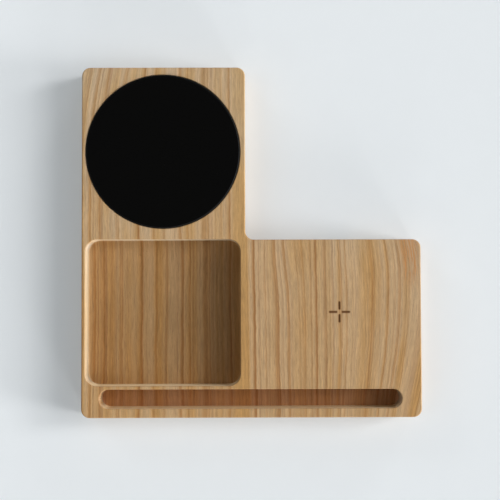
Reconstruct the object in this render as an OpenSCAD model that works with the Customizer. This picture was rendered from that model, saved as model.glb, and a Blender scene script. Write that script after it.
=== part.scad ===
// Wireless charging desk tray: an L-shaped wood block with a lift-out coaster, a tray, a pen groove
// and a wireless charger in a covered bay under the wood. Millimetres, +X right, +Y rear, +Z up.
// The origin is under the middle of the bounding box, on the surface that the feet stand on.

/* [Wood block] */
// Thickness of the block
block_h = 19; // [18:0.5:28]
// Radius of every outer corner and of the corner in the notch
corner_r = 5.5; // [3:0.5:9]
// Rounding of the top and bottom edges
edge_r = 0.8; // [0.3:0.1:1.5]

/* [Coaster] */
// Diameter of the coaster disc
coaster_d = 100; // [80:1:100]
// Thickness of the coaster disc
coaster_t = 5; // [3:0.5:7]
// Height of the coaster above the wood
coaster_proud = 0.5; // [0:0.1:2]
// Rounding of the disc's upper and lower rims
coaster_edge = 0.6; // [0.2:0.1:1.2]
// Radial gap between coaster and seat
coaster_gap = 0.3; // [0.2:0.05:1]
// Wood between the coaster's seat and the left edge
coaster_wall_left = 2.4; // [2:0.1:8]
// Wood between the coaster's seat and the line of the notch's side
coaster_wall_right = 3.2; // [2:0.1:8]
// Wood between the coaster's seat and the rear edge
coaster_wall_rear = 4.7; // [2:0.1:12]
// Wood between the coaster's seat and the line of the notch's front
coaster_wall_front = 7.2; // [2:0.1:12]
// Thickness of the soft pad under the disc
pad_t = 1; // [0.5:0.1:2]
// Distance from the disc's rim to the pad's rim
pad_inset = 4; // [1:0.5:10]
// Diameter of the push-out hole under the coaster
push_d = 20; // [15:1:30]

/* [Tray] */
// Wood left under the tray and the pen groove
floor_t = 3; // [2:0.5:10]
// Rounding between walls and floor in tray and groove
floor_r = 1; // [0.4:0.1:2]
// Rounding of the rims of tray, pen groove and coaster seat
rim_r = 0.5; // [0.2:0.1:0.8]
// Wall between the tray and the left edge
tray_wall_left = 2.4; // [2:0.1:8]
// Wall between the tray and the line of the notch's side
tray_wall_right = 3.2; // [2:0.1:8]
// Wood between the tray and the coaster's seat
tray_wall_rear = 6.8; // [2:0.1:12]
// Wall between the tray and the pen groove
tray_rib = 2.1; // [1.5:0.1:6]
// Radius of the tray's corners
tray_r = 8; // [3:0.5:14]

/* [Pen groove] */
// Width of the pen groove
groove_w = 12.4; // [10:0.2:16]
// Wall between the groove and the front edge
groove_from_front = 5.9; // [4:0.1:9]
// Distance from the groove's end to the left edge
groove_from_left = 11.5; // [8:0.5:30]
// Distance from the groove's end to the right edge
groove_from_right = 12.7; // [8:0.1:30]

/* [Charging mark] */
// Length of one dash
dash_l = 5.1; // [3:0.1:8]
// Width of one dash
dash_w = 1; // [0.6:0.1:2]
// Distance between two opposite dashes
dash_gap = 3.2; // [2:0.1:8]
// Depth that the mark is burnt into the wood
dash_depth = 0.3; // [0.1:0.1:1]

/* [Charger bay] */
// Wood left above the coil
coil_roof_t = 3.5; // [2:0.1:4]
// Height of the bay, from the block's underside
bay_h = 10; // [9.6:0.1:11.5]
// Width of the bay
bay_w = 64; // [62:0.5:80]
// Depth of the bay, front to rear
bay_d = 60; // [60:0.5:80]
// Wood between the bay and the line of the notch's side
bay_wall_left = 28.8; // [12:0.1:40]
// Wood between the bay and the right edge
bay_wall_right = 21; // [16:0.5:40]
// Wood between the bay and the pen groove
bay_wall_front = 19.7; // [8:0.1:40]
// Wood between the bay and the notch's front
bay_wall_rear = 17; // [14:0.5:20]
// Radius of the bay's corners
bay_r = 4; // [2:0.5:8]
// Width of the cover's ledge to the left and right of the bay, for the screws
ledge_w = 7; // [6:0.1:9]
// Width of the cover's ledge in front of the bay and behind it
ledge_end_w = 3; // [2:0.1:6]
// Thickness of the bottom cover
cover_t = 2; // [1.6:0.1:2.4]
// Gap around the bottom cover
cover_gap = 0.2; // [0.1:0.05:0.5]

/* [Charger] */
// Diameter of the coil's litz wire
wire_d = 1.1; // [0.8:0.05:1.12]
// Distance from one turn of the coil to the next
turn_pitch = 1.55; // [1.53:0.01:1.6]
// Radius of the innermost turn
coil_inner_r = 9.4; // [9:0.1:9.6]
// Thickness of the ferrite plate
ferrite_t = 1.2; // [0.8:0.1:2]
// Wall of the coil carrier
carrier_t = 1.6; // [1.2:0.1:2]
// Thickness of the circuit board
board_t = 1.2; // [1:0.1:1.6]
// Distance from the carrier's plate to the board
board_drop = 2.2; // [2:0.1:2.5]

/* [Port] */
// Depth of the plug recess
recess_depth = 5; // [4.5:0.1:6]
// Width of the plug recess
recess_w = 13; // [12.8:0.1:15]
// Height of the plug recess
recess_h = 7.2; // [7:0.1:8]
// Wall of the recess liner
liner_t = 1.2; // [0.8:0.1:1.6]

/* [Feet] */
// Diameter of a foot
foot_d = 10; // [8:0.5:10.4]
// Height of a foot below the wood
foot_proud = 1; // [0.5:0.1:3]
// Depth of the socket that a foot sits in
foot_socket = 1; // [0.5:0.1:1.5]
// Distance from a foot's centre to the edges
foot_in = 7.5; // [7:0.1:7.8]

/* [Hidden] */
$fn = 96;
overrun = 1;
fit = 0.05;

// Overall sizes, from what the block holds and the walls round it
seat_d = coaster_d + 2 * coaster_gap;
arm_w = seat_d + coaster_wall_left + coaster_wall_right;
arm_d = groove_from_front + groove_w + bay_wall_front + bay_d + bay_wall_rear;
body_w = arm_w + bay_wall_left + bay_w + bay_wall_right;
body_d = arm_d + coaster_wall_front + seat_d + coaster_wall_rear;

// Corners of the plan
left = -body_w / 2;
right = body_w / 2;
front = -body_d / 2;
rear = body_d / 2;
notch_x = left + arm_w;
notch_y = front + arm_d;

// Levels
under_z = foot_proud;
deck_z = under_z + block_h;
floor_z = under_z + floor_t;
ledge_z = under_z + cover_t;
bay_z = under_z + bay_h;
coil_roof_z = deck_z - coil_roof_t;

// Coaster and its seat
coaster_x = left + coaster_wall_left + seat_d / 2;
coaster_y = rear - coaster_wall_rear - seat_d / 2;
seat_z = deck_z + coaster_proud - coaster_t - pad_t;

// Tray and pen groove
groove_front = front + groove_from_front;
groove_rear = groove_front + groove_w;
tray_left = left + tray_wall_left;
tray_right = notch_x - tray_wall_right;
tray_front = groove_rear + tray_rib;
tray_rear = coaster_y - seat_d / 2 - tray_wall_rear;

// Middle of the charging mark, which the charger is centred under
coil_x = right - bay_wall_right - bay_w / 2;
coil_y = notch_y - bay_wall_rear - bay_d / 2;

// Bottom cover
cover_w = bay_w + 2 * ledge_w;
cover_d = bay_d + 2 * ledge_end_w;
cover_r = bay_r;
cover_screw_x = (bay_w + ledge_w) / 2;
cover_screw_y = (bay_d - ledge_w) / 2;
cover_screws_at = [for (sx = [-1, 1], sy = [-1, 0, 1]) [sx * cover_screw_x, sy * cover_screw_y]];
cover_screw_d = 2.5;
cover_screw_l = 6;
cover_head_d = 4.7;
cover_head_h = 1.4;
cover_head_land = 0.2;
hex_d = 1.7;
hex_depth = 0.9;
insert_d = 3.6;
insert_l = 4.4;
insert_band_cut = 0.25;
insert_bore_spare = 0.3;

// Coil and what lies under it, from the roof down
turns = 10.25;
rings_per_turn = 24;
wire_sides = 6;
wire_r = wire_d / 2;
wire_bend_r = 2 * wire_d;
roof_gap = 0.4;
tape_t = 0.2;
coil_z = coil_roof_z - roof_gap - wire_r;
coil_tape_z = coil_z - wire_r - tape_t;
ferrite_z = coil_tape_z - ferrite_t;
shield_tape_z = ferrite_z - tape_t;
coil_outer_r = coil_inner_r + turns * turn_pitch;
ferrite_edge_gap = 0.15;
ferrite_r = coil_outer_r - wire_r - ferrite_edge_gap;
tape_r = ferrite_r - wire_r;
coil_tape_inner_r = coil_inner_r - wire_r;

// Carrier, with a cup that reaches up into the coil pocket
carrier_gap = 1;
wire_hole_gap = 0.25;
wire_hole_r = wire_r + wire_hole_gap;
cup_room = 0.4;
cup_inner_r = coil_outer_r + wire_hole_r + cup_room;
cup_r = cup_inner_r + carrier_t;
pocket_r = cup_r + carrier_gap;
plate_z = bay_z - carrier_t;
cup_roof_z = shield_tape_z - carrier_t;
plate_w = bay_w - 2 * carrier_gap;
plate_d = bay_d - 2 * carrier_gap;
carrier_screw_d = 2;
carrier_screw_l = 5.5;
carrier_head_d = 3.6;
carrier_head_h = 1.3;
carrier_screw_x = plate_w / 2 - carrier_head_d;
carrier_screw_y = plate_d / 2 - carrier_head_d;
carrier_screws_at = [for (sx = [-1, 1], sy = [-1, 1]) [sx * carrier_screw_x, sy * carrier_screw_y]];

// Board, hung from the carrier
board_z = plate_z - board_drop;
board_side_gap = 2;
board_rear_gap = 0.6;
board_w = 2 * carrier_screw_x - carrier_head_d - 2 * board_side_gap;
board_d = 40.4;
board_rear = bay_d / 2 - board_rear_gap;
board_front = board_rear - board_d;
board_r = 1;
boss_r = 2.2;
boss_in = 3;
boss_x = board_w / 2 - boss_in;
boss_rear_y = board_rear - boss_in;
boss_front_y = board_front + boss_in;
bosses_at = [for (sx = [-1, 1], y = [boss_front_y, boss_rear_y]) [sx * boss_x, y]];
board_screw_d = 2;
board_screw_l = 3.2;
board_head_d = 3.8;
board_head_h = 1.2;
nose_w = 13;
cushion_w = 29;
cushion_d = 20;

// Thermistor in the middle of the coil
bead_r = 1.1;
bead_leg_r = 0.25;
bead_leg_x = 0.55;
bead_hole_gap = 0.5;

// Low parts on the board, each with its size and its place from the middle of the board's rear edge
chip_size = [5, 5, 0.9];
chip_at = [-8, -26.4];
chip_dot_r = 0.35;
chip_dot_depth = 0.1;
power_chip_size = [3, 3, 0.8];
power_chip_at = [-8, -3.4];
bridge_size = [3.3, 3.3, 0.85];
bridge_pitch = 4.6;
bridge_at = [0.5, -18.4];
cap_size = [3.2, 2.5, 1.6];
cap_end = 0.6;
cap_pitch = 3.6;
cap_at = [13.4, -24.4];

// Tall parts on the board, which reach up into the carrier's cup, with their places from the coil's centre
inductor_size = [6.6, 6.6, 2.8];
inductor_r = 1.2;
inductor_at = [-13, 14];
can_d = 5;
can_h = 3.6;
can_base_h = 0.8;
can_rim = 0.4;
can_at = [7, 20];

// Receptacle and the liner of its recess
shell_w = 8.94;
shell_h = 3.26;
shell_t = 0.3;
shell_l = 7.3;
shell_back = 0.2;
tongue_w = 6.69;
tongue_t = 0.7;
tongue_l = 4.45;
insert_block_l = 2;
liner_hole_gap = 0.15;
port_x = coil_x;
port_z = board_z + shell_h / 2;
recess_y = notch_y - recess_depth;
liner_back_y = recess_y - liner_t;
shell_front_y = recess_y - shell_back;
shell_rear_y = shell_front_y - shell_l;
nose_slot_w = nose_w + 2 * carrier_gap;
nose_slot_z = port_z + shell_h;
nose_end_y = liner_back_y - carrier_gap / 2;

// Feet
foot_round = 0.4;
foot_h = foot_proud + foot_socket;
feet = [
    ["foot_front_left", [left + foot_in, front + foot_in]],
    ["foot_front_right", [right - foot_in, front + foot_in]],
    ["foot_notch_right", [right - foot_in, notch_y - foot_in]],
    ["foot_inner", [notch_x - foot_in, notch_y - foot_in]],
    ["foot_rear_left", [left + foot_in, rear - foot_in]],
    ["foot_rear_right", [notch_x - foot_in, rear - foot_in]],
];

// Outlines, counter-clockwise, with square corners that are rounded later
body_outline = [
    [left, front], [right, front], [right, notch_y], [notch_x, notch_y], [notch_x, rear], [left, rear],
];
tray_outline = [
    [tray_left, tray_front], [tray_right, tray_front], [tray_right, tray_rear], [tray_left, tray_rear],
];
function box_outline(w, d) = [[-w / 2, -d / 2], [w / 2, -d / 2], [w / 2, d / 2], [-w / 2, d / 2]];

// Directions of the edges that arrive at corner i and leave it
function unit(v) = v / norm(v);
function arriving(pts, i) = unit(pts[i] - pts[(i + len(pts) - 1) % len(pts)]);
function leaving(pts, i) = unit(pts[(i + 1) % len(pts)] - pts[i]);
function heading(v) = atan2(v.y, v.x);
function is_convex(pts, i) = cross(arriving(pts, i), leaving(pts, i)) > 0;
function arc_centre(pts, i, r) = pts[i] - r * arriving(pts, i) + r * leaving(pts, i);

// Plan with square corners turned into arcs: the chord of each corner, then its circle added or taken away
module rounded_plan(pts, r) {
    corners = [for (i = [0 : len(pts) - 1]) i];
    difference() {
        union() {
            polygon([for (i = corners) each [pts[i] - r * arriving(pts, i), pts[i] + r * leaving(pts, i)]]);
            for (i = corners) if (is_convex(pts, i)) translate(arc_centre(pts, i, r)) circle(r);
        }
        for (i = corners) if (!is_convex(pts, i)) translate(arc_centre(pts, i, r)) circle(r);
    }
}

// Plan with full-round ends, along X
module stadium_plan(l, w) {
    square([l - w, w], center = true);
    for (side = [-1, 1]) translate([side * (l - w) / 2, 0]) circle(d = w);
}

// Section of what is cut off an edge to round it, as distance into the wall and height over the top face
ease_steps = 4;
function ease_section(e) = concat(
    [for (k = [0 : ease_steps]) let (a = 90 * k / ease_steps) [e - e * cos(a), e * sin(a) - e]],
    [[e, overrun], [-overrun, overrun], [-overrun, -e]]
);

// Cutters that round a straight edge along +X, with the wall's inside towards +Y, and a turned edge
module ease_run(l, e) {
    rotate([90, 0, 90]) linear_extrude(l) polygon(ease_section(e));
}
module ease_turn(r, e, sweep, side) {
    rotate_extrude(angle = sweep) polygon([for (p = ease_section(e)) [r - side * p.x, p.y]]);
}

// Cutters that round the whole upper edge of a plan with arcs of radius r
module ease_ring(pts, r, e) {
    for (i = [0 : len(pts) - 1]) {
        start = pts[i] + r * leaving(pts, i);
        run = norm(pts[(i + 1) % len(pts)] - pts[i]) - 2 * r;
        translate([start.x, start.y, 0]) rotate([0, 0, heading(leaving(pts, i))]) ease_run(run, e);
        centre = arc_centre(pts, i, r);
        turn = heading(arriving(pts, i));
        translate([centre.x, centre.y, 0]) {
            if (is_convex(pts, i)) rotate([0, 0, turn - 90]) ease_turn(r, e, 90, 1);
            else rotate([0, 0, turn]) ease_turn(r, e, 90, -1);
        }
    }
}

// Block with round corners whose top or bottom edge is rounded too
module eased_block(pts, r, h, top_e, bottom_e) {
    difference() {
        linear_extrude(h) rounded_plan(pts, r);
        if (top_e > 0) translate([0, 0, h]) ease_ring(pts, r, top_e);
        if (bottom_e > 0) mirror([0, 0, 1]) ease_ring(pts, r, bottom_e);
    }
}

// Outline in the other direction, which puts the wood round a pocket on the side that ease_ring cuts
function backwards(pts) = [for (i = [len(pts) - 1 : -1 : 0]) pts[i]];

// Space of the tray, with its floor edge and its rim rounded
module tray_space() {
    translate([0, 0, floor_z])
        eased_block(tray_outline, tray_r, deck_z - floor_z + overrun, 0, floor_r);
    translate([0, 0, deck_z]) ease_ring(backwards(tray_outline), tray_r, rim_r);
}

// Space of the pen groove, with its floor edge and its rim rounded
module groove_space() {
    l = body_w - groove_from_left - groove_from_right;
    straight = l - groove_w;
    translate([left + groove_from_left + l / 2, groove_front + groove_w / 2, 0]) {
        difference() {
            translate([0, 0, floor_z]) linear_extrude(deck_z - floor_z + overrun) stadium_plan(l, groove_w);
            translate([0, 0, floor_z]) mirror([0, 0, 1]) for (turn = [0, 180]) rotate([0, 0, turn]) {
                translate([-straight / 2, -groove_w / 2, 0]) ease_run(straight, floor_r);
                translate([straight / 2, 0, 0]) rotate([0, 0, -90]) ease_turn(groove_w / 2, floor_r, 180, 1);
            }
        }
        translate([0, 0, deck_z]) for (turn = [0, 180]) rotate([0, 0, turn]) {
            translate([-straight / 2, groove_w / 2, 0]) ease_run(straight, rim_r);
            translate([straight / 2, 0, 0]) rotate([0, 0, -90]) ease_turn(groove_w / 2, rim_r, 180, -1);
        }
    }
}

// Four dashes round a bare middle
module mark_space() {
    dash_middle = (dash_gap + dash_l) / 2;
    translate([coil_x, coil_y, deck_z - dash_depth]) linear_extrude(dash_depth + overrun)
        for (turn = [0 : 90 : 270]) rotate(turn) translate([dash_middle, 0]) stadium_plan(dash_l, dash_w);
}

// Seat of the coaster and the hole that it is pushed out through
module seat_space() {
    translate([coaster_x, coaster_y, 0]) {
        translate([0, 0, seat_z]) cylinder(d = seat_d, h = deck_z - seat_z + overrun);
        cylinder(d = push_d, h = seat_z + overrun);
        translate([0, 0, deck_z]) ease_turn(seat_d / 2, rim_r, 360, -1);
        translate([0, 0, under_z]) mirror([0, 0, 1]) ease_turn(push_d / 2, edge_r, 360, -1);
    }
}

// Bay for the charger, open below, with the coil pocket in its roof
module bay_space() {
    gap_w = cover_w + 2 * cover_gap;
    gap_d = cover_d + 2 * cover_gap;
    translate([coil_x, coil_y, 0]) {
        linear_extrude(ledge_z) rounded_plan(box_outline(gap_w, gap_d), cover_r + cover_gap);
        linear_extrude(bay_z) rounded_plan(box_outline(bay_w, bay_d), bay_r);
        cylinder(r = pocket_r, h = coil_roof_z);
        for (at = cover_screws_at) translate([at.x, at.y, 0])
            cylinder(d = insert_d + 2 * fit, h = ledge_z + insert_l + insert_bore_spare);
        for (at = carrier_screws_at) translate([at.x, at.y, 0])
            cylinder(d = carrier_screw_d + 2 * fit, h = bay_z + carrier_screw_l);
    }
}

// Slot for the board's nose and the seat of the recess liner
module port_space() {
    nose_slot = [nose_slot_w, liner_back_y - coil_y, nose_slot_z - ledge_z];
    translate([port_x - nose_slot_w / 2, coil_y, ledge_z]) cube(nose_slot);
    port_place(liner_back_y) linear_extrude(notch_y - liner_back_y + overrun)
        stadium_plan(recess_w + 2 * liner_t + 2 * fit, recess_h + 2 * liner_t + 2 * fit);
}

// Turns a plan so that it faces the notch, with its extrusion running from y towards the notch
module port_place(y) {
    translate([port_x, y, port_z]) rotate([-90, 0, 0]) children();
}

module wood_body() {
    color("#b48f64") difference() {
        translate([0, 0, under_z]) eased_block(body_outline, corner_r, block_h, edge_r, edge_r);
        tray_space();
        groove_space();
        mark_space();
        seat_space();
        bay_space();
        port_space();
        for (f = feet) translate([f[1].x, f[1].y, 0])
            cylinder(d = foot_d + 2 * fit, h = under_z + foot_socket);
    }
}

// Quarter circle of radius e round a point, from the angle that it starts at
function quarter(x, y, e, first) =
    [for (k = [0 : ease_steps]) let (a = first + 90 * k / ease_steps) [x + e * cos(a), y + e * sin(a)]];

// Disc with both rims rounded
module coaster_disc() {
    rim_x = coaster_d / 2 - coaster_edge;
    lower = quarter(rim_x, coaster_edge, coaster_edge, -90);
    upper = quarter(rim_x, coaster_t - coaster_edge, coaster_edge, 0);
    color("#0d0d0d") translate([coaster_x, coaster_y, seat_z + pad_t])
        rotate_extrude() polygon(concat([[0, 0]], lower, upper, [[0, coaster_t]]));
}

module coaster_pad() {
    color("#3a3a3c") translate([coaster_x, coaster_y, seat_z])
        cylinder(r = coaster_d / 2 - pad_inset, h = pad_t);
}

// Cover with countersunk holes, flush with the wood
module bottom_cover() {
    color("#26262a") translate([coil_x, coil_y, under_z]) difference() {
        linear_extrude(cover_t) rounded_plan(box_outline(cover_w, cover_d), cover_r);
        for (at = cover_screws_at) translate([at.x, at.y, 0]) {
            translate([0, 0, -overrun]) cylinder(d = cover_screw_d + 4 * fit, h = cover_t + 2 * overrun);
            rotate_extrude() polygon(countersink(cover_head_d + 2 * fit, cover_screw_d + 4 * fit, overrun));
        }
    }
}

// Half section of a countersunk head, or of its sink when it reaches below the face
function countersink(head_d, neck_d, below) = [
    [0, -below], [head_d / 2, -below], [head_d / 2, cover_head_land],
    [neck_d / 2, cover_head_h], [0, cover_head_h],
];

// Puts a piece at each of a list of places round the coil's axis
module at_each(places, z) {
    for (at = places) translate([coil_x + at.x, coil_y + at.y, z]) children();
}

// Socket in a screw's head, open below its face
module hex_socket() {
    translate([0, 0, -overrun]) cylinder(d = hex_d, h = hex_depth + overrun, $fn = 6);
}

module cover_screws() {
    color("#8e9196") at_each(cover_screws_at, under_z) difference() {
        union() {
            rotate_extrude() polygon(countersink(cover_head_d, cover_screw_d, 0));
            cylinder(d = cover_screw_d, h = cover_screw_l);
        }
        hex_socket();
    }
}

// Threaded inserts, each with a groove between its two knurled bands
module cover_inserts() {
    color("#b08d3e") at_each(cover_screws_at, ledge_z) difference() {
        rotate_extrude() polygon([
            [0, 0], [insert_d / 2, 0], [insert_d / 2, insert_l / 3],
            [insert_d / 2 - insert_band_cut, insert_l / 3 + insert_band_cut],
            [insert_d / 2 - insert_band_cut, insert_l * 2 / 3 - insert_band_cut],
            [insert_d / 2, insert_l * 2 / 3], [insert_d / 2, insert_l - insert_band_cut],
            [insert_d / 2 - insert_band_cut, insert_l], [0, insert_l],
        ]);
        translate([0, 0, -overrun]) cylinder(d = cover_screw_d + 2 * fit, h = insert_l + 2 * overrun);
    }
}

module foot(at) {
    rim = quarter(foot_d / 2 - foot_round, foot_round, foot_round, -90);
    color("#1d1d1f") translate([at.x, at.y, 0])
        rotate_extrude() polygon(concat([[0, 0]], rim, [[foot_d / 2, foot_h], [0, foot_h]]));
}

// Plate under the bay's roof, with a cup up into the coil pocket and bosses for the board
module coil_carrier() {
    cup_space_h = cup_roof_z - plate_z + overrun;
    color("#d8d8d2") difference() {
        union() {
            translate([coil_x, coil_y, plate_z]) {
                linear_extrude(carrier_t) rounded_plan(box_outline(plate_w, plate_d), bay_r);
                cylinder(r = cup_r, h = shield_tape_z - plate_z);
            }
            at_each(bosses_at, board_z) cylinder(r = boss_r, h = plate_z - board_z);
        }
        difference() {
            translate([coil_x, coil_y, plate_z - overrun]) cylinder(r = cup_inner_r, h = cup_space_h);
            at_each(bosses_at, board_z) cylinder(r = boss_r, h = cup_roof_z);
        }
        at_each(bosses_at, board_z - overrun)
            cylinder(d = board_screw_d + 2 * fit, h = board_screw_l + overrun);
        at_each(carrier_screws_at, plate_z - overrun)
            cylinder(d = carrier_screw_d + 4 * fit, h = carrier_t + 2 * overrun);
        translate([coil_x, coil_y, 0]) wire_holes();
    }
}

// Slots for the bends of the coil's two tails, and the thermistor's hole
module wire_holes() {
    slot_l = wire_bend_r + wire_hole_r + wire_r;
    slot_middle = slot_l / 2 - wire_bend_r - wire_hole_r;
    translate([0, 0, board_z]) linear_extrude(coil_z - board_z) {
        translate([coil_inner_r, slot_middle]) rotate(90) stadium_plan(slot_l, 2 * wire_hole_r);
        translate([slot_middle, coil_outer_r]) stadium_plan(slot_l, 2 * wire_hole_r);
        circle(r = bead_r + bead_hole_gap);
    }
}

module carrier_screws() {
    color("#8e9196") at_each(carrier_screws_at, plate_z - carrier_head_h) difference() {
        union() {
            cylinder(d = carrier_head_d, h = carrier_head_h);
            cylinder(d = carrier_screw_d, h = carrier_head_h + carrier_t + carrier_screw_l - fit);
        }
        hex_socket();
    }
}

module shield_tape() {
    color("#e9e4d4") translate([coil_x, coil_y, 0]) difference() {
        translate([0, 0, shield_tape_z]) cylinder(r = tape_r, h = tape_t);
        wire_holes();
    }
}

module ferrite_plate() {
    color("#3c3c40") translate([coil_x, coil_y, 0]) difference() {
        translate([0, 0, ferrite_z]) cylinder(r = ferrite_r, h = ferrite_t);
        wire_holes();
    }
}

module coil_tape() {
    color("#e9e4d4") translate([coil_x, coil_y, 0]) difference() {
        translate([0, 0, coil_tape_z]) cylinder(r = tape_r, h = tape_t);
        translate([0, 0, coil_tape_z - overrun]) cylinder(r = coil_tape_inner_r, h = tape_t + 2 * overrun);
        wire_holes();
    }
}

// One wire: up from the board, over a bend into the flat spiral, and down again at its outer end
function spiral_r(a) = coil_inner_r + turn_pitch * a / 360;
spiral_steps = turns * rings_per_turn;
bend_steps = 4;
wire_line = concat(
    [[[coil_inner_r, -wire_bend_r, board_z], 0]],
    [for (k = [0 : bend_steps - 1]) let (a = 90 * k / bend_steps)
        [[coil_inner_r, -wire_bend_r * cos(a), coil_z - wire_bend_r + wire_bend_r * sin(a)], 0]],
    [for (k = [0 : spiral_steps]) let (a = 360 * k / rings_per_turn)
        [[spiral_r(a) * cos(a), spiral_r(a) * sin(a), coil_z], a]],
    [for (k = [bend_steps - 1 : -1 : 0]) let (a = 90 * k / bend_steps)
        [[-wire_bend_r * cos(a), coil_outer_r, coil_z - wire_bend_r + wire_bend_r * sin(a)], 360 * turns]],
    [[[-wire_bend_r, coil_outer_r, board_z], 360 * turns]]
);
last_ring = len(wire_line) - 1;

// Direction of the wire at ring i, and the ring's corners round it
function wire_way(i) = i == 0 ? [0, 0, 1] : i == last_ring ? [0, 0, -1]
    : unit(unit(wire_line[i + 1][0] - wire_line[i][0]) + unit(wire_line[i][0] - wire_line[i - 1][0]));
function wire_ring(i) = let (
    way = wire_way(i),
    outwards = [cos(wire_line[i][1]), sin(wire_line[i][1]), 0],
    side = unit(outwards - (outwards * way) * way),
    up = cross(way, side)
) [for (k = [0 : wire_sides - 1]) let (a = 360 * k / wire_sides)
    wire_line[i][0] + wire_r * (cos(a) * side + sin(a) * up)];

module transmit_coil() {
    rings = [for (i = [0 : last_ring]) wire_ring(i)];
    walls = [for (i = [0 : last_ring - 1], k = [0 : wire_sides - 1]) let (
        a = i * wire_sides + k,
        b = i * wire_sides + (k + 1) % wire_sides
    ) each [[a, b + wire_sides, b], [a, a + wire_sides, b + wire_sides]]];
    first_cap = [for (k = [1 : wire_sides - 2]) [0, k, k + 1]];
    last_cap = [for (k = [1 : wire_sides - 2]) last_ring * wire_sides * [1, 1, 1] + [0, k + 1, k]];
    color("#b4652f") translate([coil_x, coil_y, 0])
        polyhedron([for (r = rings) each r], concat(walls, first_cap, last_cap));
}

// Least gap between neighbouring turns, measured on the wire's own points
spiral_points = [for (k = [0 : spiral_steps]) wire_line[k + bend_steps + 1][0]];
turn_gaps = [for (k = [0 : spiral_steps - rings_per_turn])
    norm(spiral_points[k + rings_per_turn] - spiral_points[k]) - wire_d];
echo(least_gap_between_turns = min(turn_gaps));

// Bead on two legs that stand on the board
module thermistor() {
    bead_z = ferrite_z + ferrite_t / 2;
    legs_at = [[-bead_leg_x, 0], [bead_leg_x, 0]];
    color("#7a5a2c") union() {
        translate([coil_x, coil_y, bead_z]) sphere(r = bead_r);
        at_each(legs_at, board_z) cylinder(r = bead_leg_r, h = bead_z - board_z);
    }
}

module circuit_board() {
    outline = [
        [-board_w / 2, board_front], [board_w / 2, board_front],
        [board_w / 2, board_rear], [-board_w / 2, board_rear],
    ];
    color("#1f5a3c") difference() {
        translate([coil_x, coil_y, board_z - board_t]) union() {
            linear_extrude(board_t) rounded_plan(outline, board_r);
            translate([-nose_w / 2, 0, 0]) cube([nose_w, nose_end_y - coil_y, board_t]);
        }
        at_each(bosses_at, board_z - board_t - overrun)
            cylinder(d = board_screw_d + 4 * fit, h = board_t + 2 * overrun);
    }
}

module board_screws() {
    color("#8e9196") at_each(bosses_at, board_z - board_t - board_head_h) difference() {
        union() {
            cylinder(d = board_head_d, h = board_head_h);
            cylinder(d = board_screw_d, h = board_head_h + board_t + board_screw_l - fit);
        }
        hex_socket();
    }
}

// Place on the board, measured from the middle of its rear edge
function on_board(at) = at + [0, board_rear];

// Flat block that stands on the board
module chip_block(size) {
    translate([-size.x / 2, -size.y / 2, 0]) cube(size);
}

// Chip with a dimple beside its first leg
module dimpled_chip(size) {
    dot_in = 2 * chip_dot_r;
    difference() {
        chip_block(size);
        translate([dot_in - size.x / 2, size.y / 2 - dot_in, size.z - chip_dot_depth])
            cylinder(r = chip_dot_r, h = overrun);
    }
}

module controller_chip() {
    color("#222226") at_each([on_board(chip_at)], board_z) dimpled_chip(chip_size);
}

module power_chip() {
    color("#222226") at_each([on_board(power_chip_at)], board_z) dimpled_chip(power_chip_size);
}

module bridge_transistors() {
    places = [for (i = [-1, 0], j = [0, 1]) on_board(bridge_at) + bridge_pitch * [i, j]];
    color("#2a2a2e") at_each(places, board_z) chip_block(bridge_size);
}

// Four ceramic blocks with metal ends that stand a little proud
module resonant_capacitors() {
    proud = cap_end / 10;
    places = [for (i = [-1 : 2]) on_board(cap_at) + [0, i * cap_pitch]];
    color("#b9a07c") at_each(places, board_z) union() {
        translate([0, 0, proud]) chip_block(cap_size - [0, 2 * proud, 2 * proud]);
        for (side = [-1, 1]) translate([side * (cap_size.x - cap_end) / 2, 0, 0])
            chip_block([cap_end, cap_size.y, cap_size.z]);
    }
}

module power_inductor() {
    outline = box_outline(inductor_size.x, inductor_size.y);
    color("#4b4b50") at_each([inductor_at], board_z)
        linear_extrude(inductor_size.z) rounded_plan(outline, inductor_r);
}

// Can on a square plastic base
module input_capacitor() {
    color("#b9bcc0") at_each([can_at], board_z) union() {
        linear_extrude(can_base_h) rounded_plan(box_outline(can_d, can_d), can_rim);
        rotate_extrude() polygon([
            [0, 0], [can_d / 2 - can_rim, 0], [can_d / 2 - can_rim, can_base_h],
            [can_d / 2 - can_rim / 2, can_base_h + can_rim], [can_d / 2 - can_rim / 2, can_h - can_rim],
            [can_d / 2 - can_rim, can_h], [0, can_h],
        ]);
    }
}

module usb_shell() {
    color("#b7babd") port_place(shell_rear_y) linear_extrude(shell_l) difference() {
        stadium_plan(shell_w, shell_h);
        stadium_plan(shell_w - 2 * shell_t, shell_h - 2 * shell_t);
    }
}

// Moulded block in the back of the shell, with the tongue in front of it
module usb_tongue() {
    block_in = 2 * shell_t + 2 * fit;
    color("#1b1b1d") port_place(shell_rear_y) union() {
        linear_extrude(insert_block_l) stadium_plan(shell_w - block_in, shell_h - block_in);
        translate([-tongue_w / 2, -tongue_t / 2, 0]) cube([tongue_w, tongue_t, insert_block_l + tongue_l]);
    }
}

// Cup that lines the plug recess, with a window for the receptacle in its back wall
module port_liner() {
    color("#1d1d1f") port_place(liner_back_y) difference() {
        linear_extrude(liner_t + recess_depth) stadium_plan(recess_w + 2 * liner_t, recess_h + 2 * liner_t);
        translate([0, 0, liner_t]) linear_extrude(recess_depth + overrun) stadium_plan(recess_w, recess_h);
        translate([0, 0, -overrun]) linear_extrude(liner_t + 2 * overrun)
            stadium_plan(shell_w + 2 * liner_hole_gap, shell_h + 2 * liner_hole_gap);
    }
}

// Foam that holds the board up against its bosses
module board_cushion() {
    y = (board_front + board_rear - cushion_d) / 2;
    color("#55555a") translate([coil_x - cushion_w / 2, coil_y + y, ledge_z])
        cube([cushion_w, cushion_d, board_z - board_t - ledge_z]);
}

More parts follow.
